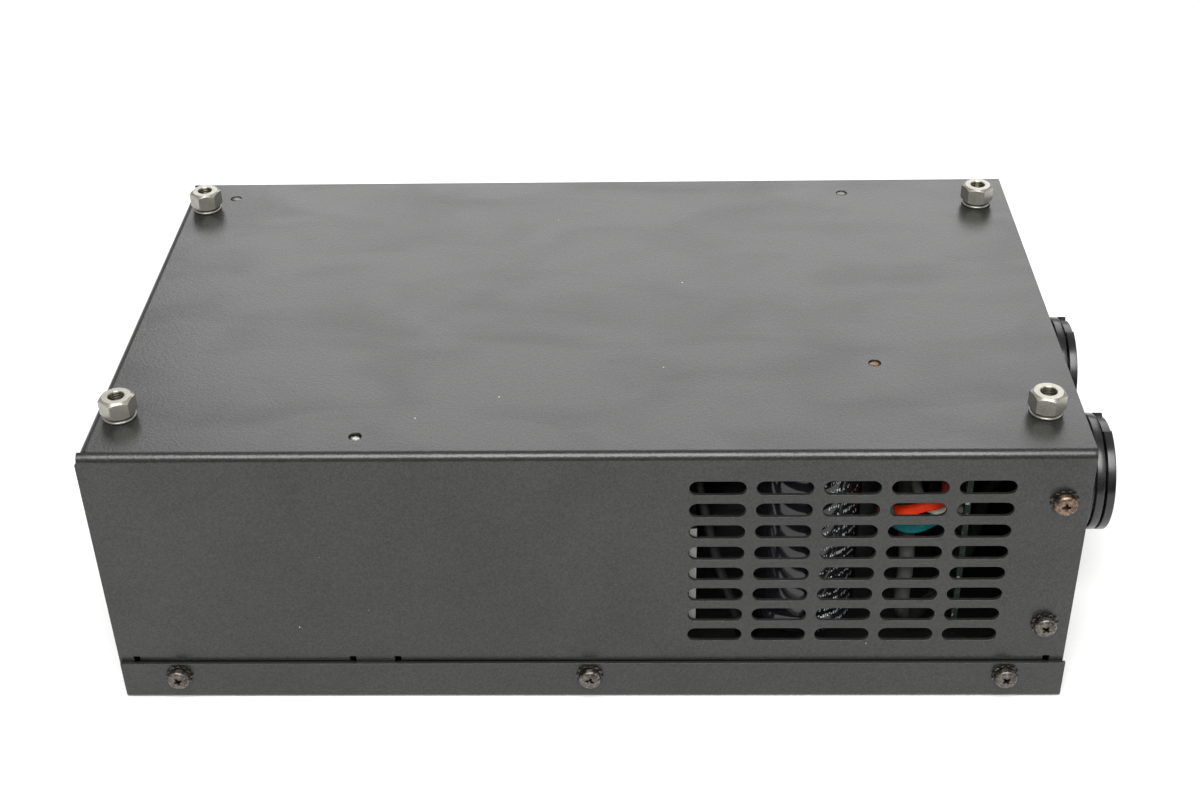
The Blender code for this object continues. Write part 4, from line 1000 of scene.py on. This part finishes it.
def ports():
    outward = Euler((0, QUARTER_TURN, 0)).to_quaternion()
    for number in (1, 2):
        middle = centre_of(f"port_{number}_nut")
        face = Vector((PANEL_HIGH.x, middle.y, middle.z))
        place = {"location": face, "rotation": outward}
        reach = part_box(f"port_{number}_lock_ring")[1].x - PANEL_HIGH.x
        collar = collar_mesh(reach)
        add_piece(f"port_{number}_collar", collar, PORT, "port_plastic", [f"port_{number}_body"], **place)
        angles = [NOTCH_AT + FULL_TURN * i / 288 for i in range(288)]
        loop = [lock_rim(a) * Vector((-math.sin(a), math.cos(a))) for a in angles]
        band = blank([loop, circle((0, 0), PORT_NECK + 0.3 * MM, 64)], RIB, 0.35 * MM, 3)
        ring = add_piece(
            f"port_{number}_band", to_mesh(band, "lock_band"), PORT, "port_plastic",
            [f"port_{number}_lock_ring"], f"lock_ring_{number}", face + Vector((reach, 0, 0)), outward,
        )
        keep_flats_flat(ring)


# ---- Inside ----
def capacitor():
    """The can with its crimped top, rolled bead and bottom rim."""
    low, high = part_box("filter_capacitor")
    middle, radius = (low + high) / 2, (high.x - low.x) / 2
    height = high.z - low.z
    profile = [(0, height), (radius - 1.2 * MM, height), (radius - 0.3 * MM, height - 0.4 * MM)]
    profile += [(radius, height - 1.4 * MM), (radius, 7.4 * MM), (radius - 0.5 * MM, 6.4 * MM)]
    profile += [(radius - 0.5 * MM, 5.6 * MM), (radius, 4.6 * MM), (radius, 1.0 * MM), (radius - 0.5 * MM, 0)]
    profile += [(radius - 2.0 * MM, 0), (radius - 2.2 * MM, 0.9 * MM), (0, 0.9 * MM)]
    mesh = to_mesh(turned(profile, 128), "capacitor_can", sharp=50)
    place = {"location": (middle.x, middle.y, low.z)}
    add_piece("capacitor_can", mesh, SLEEVE, "capacitor_sleeve", ["filter_capacitor"], **place)


# Each lead: its material and slot, then its radius and route in millimetres.
LEADS = {
    "lead_red": (RED, "red_insulation", 1.6, (
        (105.6, -63.0, 78.6), (105.7, -66.3, 78.6), (106.1, -70.9, 78.2), (106.1, -75.1, 76.6),
        (105.7, -77.3, 73.0), (103.8, -77.8, 70.1), (100.2, -77.8, 68.8), (95.8, -77.4, 67.2),
        (92.2, -74.9, 65.0), (89.8, -70.1, 61.2), (91.0, -62.3, 56.0), (98.0, -56.1, 52.9),
        (107.0, -54.6, 51.8), (111.3, -54.5, 51.6),
    )),
    "lead_teal": (TEAL, "teal_insulation", 1.6, (
        (89.5, -63.0, 78.6), (89.3, -66.3, 78.6), (88.4, -71.5, 76.6), (88.6, -76.3, 72.0),
        (89.6, -78.0, 66.0), (92.6, -78.0, 62.2), (97.2, -77.7, 60.7), (101.8, -76.5, 61.4),
        (106.0, -74.3, 62.6), (109.2, -73.7, 62.8), (111.3, -73.7, 62.8),
    )),
    "lead_white": (WHITE, "white_insulation", 1.6, (
        (97.5, -63.0, 78.6), (97.5, -66.3, 78.6), (97.5, -69.5, 76.4), (98.1, -71.9, 71.8),
        (100.0, -73.7, 67.6), (103.4, -75.3, 65.8), (107.0, -76.1, 66.2), (109.4, -76.1, 66.8),
        (111.3, -76.1, 66.8),
    )),
    "fan_lead": (BLACK_LEAD, "fan_plastic", 1.5, (
        (32.6, -74.5, 83.2), (33.6, -77.1, 76.6), (36.8, -77.7, 60.6), (40.6, -77.7, 44.3),
        (45.4, -77.1, 27.6), (48.0, -73.5, 13.6), (51.0, -62.5, 5.5), (56.0, -40.0, 3.6),
        (64.0, 0.0, 3.6), (72.0, 36.5, 3.8), (76.4, 53.5, 9.0), (77.5, 56.5, 24.0),
        (77.5, 55.5, 40.0), (77.5, 57.5, 47.6), (77.5, 60.1, 49.4), (77.5, 62.6, 49.4),
    )),
    "port_1_cable": (SHEATH, "cable_sheath", 2.4, (
        (97.5, -56.5, 71.3), (97.4, -57.7, 65.6), (97.0, -62.5, 59.2), (96.6, -69.5, 55.6),
        (96.4, -74.7, 51.6), (96.4, -76.3, 45.6), (96.2, -76.3, 35.6), (96.8, -74.1, 27.6),
        (100.0, -66.5, 16.6), (107.0, -54.5, 9.6), (116.0, -42.5, 8.6), (124.0, -33.5, 14.6),
        (127.4, -29.8, 26.4), (129.4, -29.3, 37.4), (133.4, -29.3, 44.2), (139.7, -29.3, 45.3),
    )),
}


def tube(name, points, radius, material, slot, node):
    """A round lead along a smooth curve through points."""
    curve = bpy.data.curves.new(name, "CURVE")
    curve.dimensions = "3D"
    curve.bevel_depth = radius
    curve.bevel_resolution = 5
    curve.use_fill_caps = True
    spline = curve.splines.new("BEZIER")
    spline.bezier_points.add(len(points) - 1)
    for knot, point in zip(spline.bezier_points, points):
        knot.co = Vector(point) * MM
        knot.handle_left_type = knot.handle_right_type = "AUTO"
    curve.resolution_u = 10
    curve.materials.append(material)
    add_piece(name, curve, material, slot, [node])


def leads():
    for node, (material, slot, radius, route) in LEADS.items():
        tube(f"{node}_tube", route, radius * MM, material, slot, node)


def board_edges():
    """A raised band of bare laminate along the edges of each board's faces."""
    for name in ("main_board", "side_board"):
        low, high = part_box(name)
        proud = 0.05 * MM
        thin = min(range(3), key=lambda i: high[i] - low[i])
        a, b = (i for i in range(3) if i != thin)
        corners = [(low[a], low[b]), (high[a], low[b]), (high[a], high[b]), (low[a], high[b])]
        edge = [Vector(corner) for corner in corners]
        loops = [inward(edge, proud), inward(edge, 0.4 * MM)[::-1]]
        bm = blank(loops, high[thin] - low[thin] + 2 * proud, proud, 1)
        for vert in bm.verts:
            place = [0.0, 0.0, 0.0]
            place[a], place[b], place[thin] = vert.co.x, vert.co.y, high[thin] + proud + vert.co.z
            vert.co = place
        add_piece(f"{name}_edge", to_mesh(bm, f"{name}_edge", smooth=False), BOARD_EDGE, "board_laminate")


def small_parts():
    """Small parts on the side board, and the end of one that hangs over its front edge."""
    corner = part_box("side_board")[0]
    for index, (across, back, height, size, material) in enumerate(SMALL_PARTS):
        bm = bmesh.new()
        bmesh.ops.create_cube(bm, size=1.0, matrix=Matrix.Diagonal((*(Vector(size) * MM), 1.0)))
        bmesh.ops.bevel(bm, geom=bm.edges[:], offset=0.12 * MM, segments=2, affect="EDGES")
        place = (corner.x + across * MM, corner.y + back * MM, height * MM)
        name = f"side_board_part_{index + 1}"
        keep_flats_flat(add_piece(name, to_mesh(bm, name), material, "insert_plastic", location=place))


def inside():
    """Materials of the CAD nodes that stay visible."""
    paint(BOARD, "main_board", "side_board")
    paint(NYLON, *[f"board_spacer_{i}" for i in range(1, 5)])
    paint(ALUMINIUM, "heat_sink")
    paint(COPPER, "filter_choke")
    paint(TERMINAL, "terminal_block")
    paint(CORE, "transformer_core")
    paint(TAPE, "transformer_winding")
    paint(ZINC, "transformer_plate")
    paint(FAN, "fan_frame", "fan_rotor")
    for number in (1, 2):
        paint(PORT, f"port_{number}_nut", f"port_{number}_cap")
        paint(INSERT, f"port_{number}_insert")
        smooth_corners(40, f"port_{number}_nut", f"port_{number}_cap", f"port_{number}_insert")
    smooth_corners(35, "filter_choke", "fan_rotor", "fan_frame", *[f"board_spacer_{i}" for i in range(1, 5)])


# ---- Stage, light and camera ----
def area_light(name, place, size, radiance):
    """A softbox that faces the object, which the camera doesn't see."""
    light = bpy.data.lights.new(name, "AREA")
    light.shape = "RECTANGLE"
    light.size, light.size_y = size
    light.energy = radiance * math.pi * size[0] * size[1]
    lamp = new_object(name, light)
    lamp.location = place
    lamp.rotation_euler = (LIT_POINT - Vector(place)).to_track_quat("-Z", "Y").to_euler()
    lamp.visible_camera = False


def sheet_of_stage(name, size, material, place=None):
    """A flat part of the set, lying or standing where place puts it."""
    bm = bmesh.new()
    bmesh.ops.create_grid(bm, x_segments=1, y_segments=1, size=0.5, matrix=Matrix.Diagonal((*size, 1.0, 1.0)))
    mesh = to_mesh(bm, name)
    mesh.materials.append(material)
    piece = new_object(name, mesh)
    if place:
        piece.matrix_world = place
    return piece


def stage():
    """Paper floor, three softboxes, and a dark card that only reflections show, for the front bend."""
    sheet_of_stage("floor", FLOOR_SIZE, floor_paper())
    upright = Matrix.Translation(FLAG_AT) @ Matrix.Rotation(QUARTER_TURN, 4, "X")
    flag = sheet_of_stage("flag", FLAG_SIZE, moulded("flag_cloth", (0.012, 0.012, 0.012), 0.9), upright)
    flag.visible_camera = False
    flag.visible_diffuse = False
    flag.visible_shadow = False
    world = bpy.data.worlds.new("studio")
    world.use_nodes = True
    background = world.node_tree.nodes["Background"]
    background.inputs["Color"].default_value = (1.0, 1.0, 0.995, 1.0)
    background.inputs["Strength"].default_value = AMBIENT
    bpy.context.scene.world = world
    for name, (place, size, radiance) in LIGHTS.items():
        area_light(name, place, size, radiance)
    bpy.context.scene.view_settings.view_transform = "Standard"


def camera():
    data = bpy.data.cameras.new("camera")
    data.lens = CAMERA_LENS
    data.sensor_width = 36.0
    data.sensor_fit = "HORIZONTAL"
    data.clip_start = 0.01
    piece = new_object("camera", data)
    piece.location = CAMERA_AT
    piece.rotation_mode = "QUATERNION"
    piece.rotation_quaternion = CAMERA_TOWARDS.to_track_quat("-Z", "Y") @ Quaternion((0, 0, 1), CAMERA_ROLL)
    bpy.context.scene.camera = piece


chassis()
tray()
end_panel()
screws()
standoffs()
panel_studs()
ports()
capacitor()
leads()
board_edges()
small_parts()
inside()
stage()
camera()
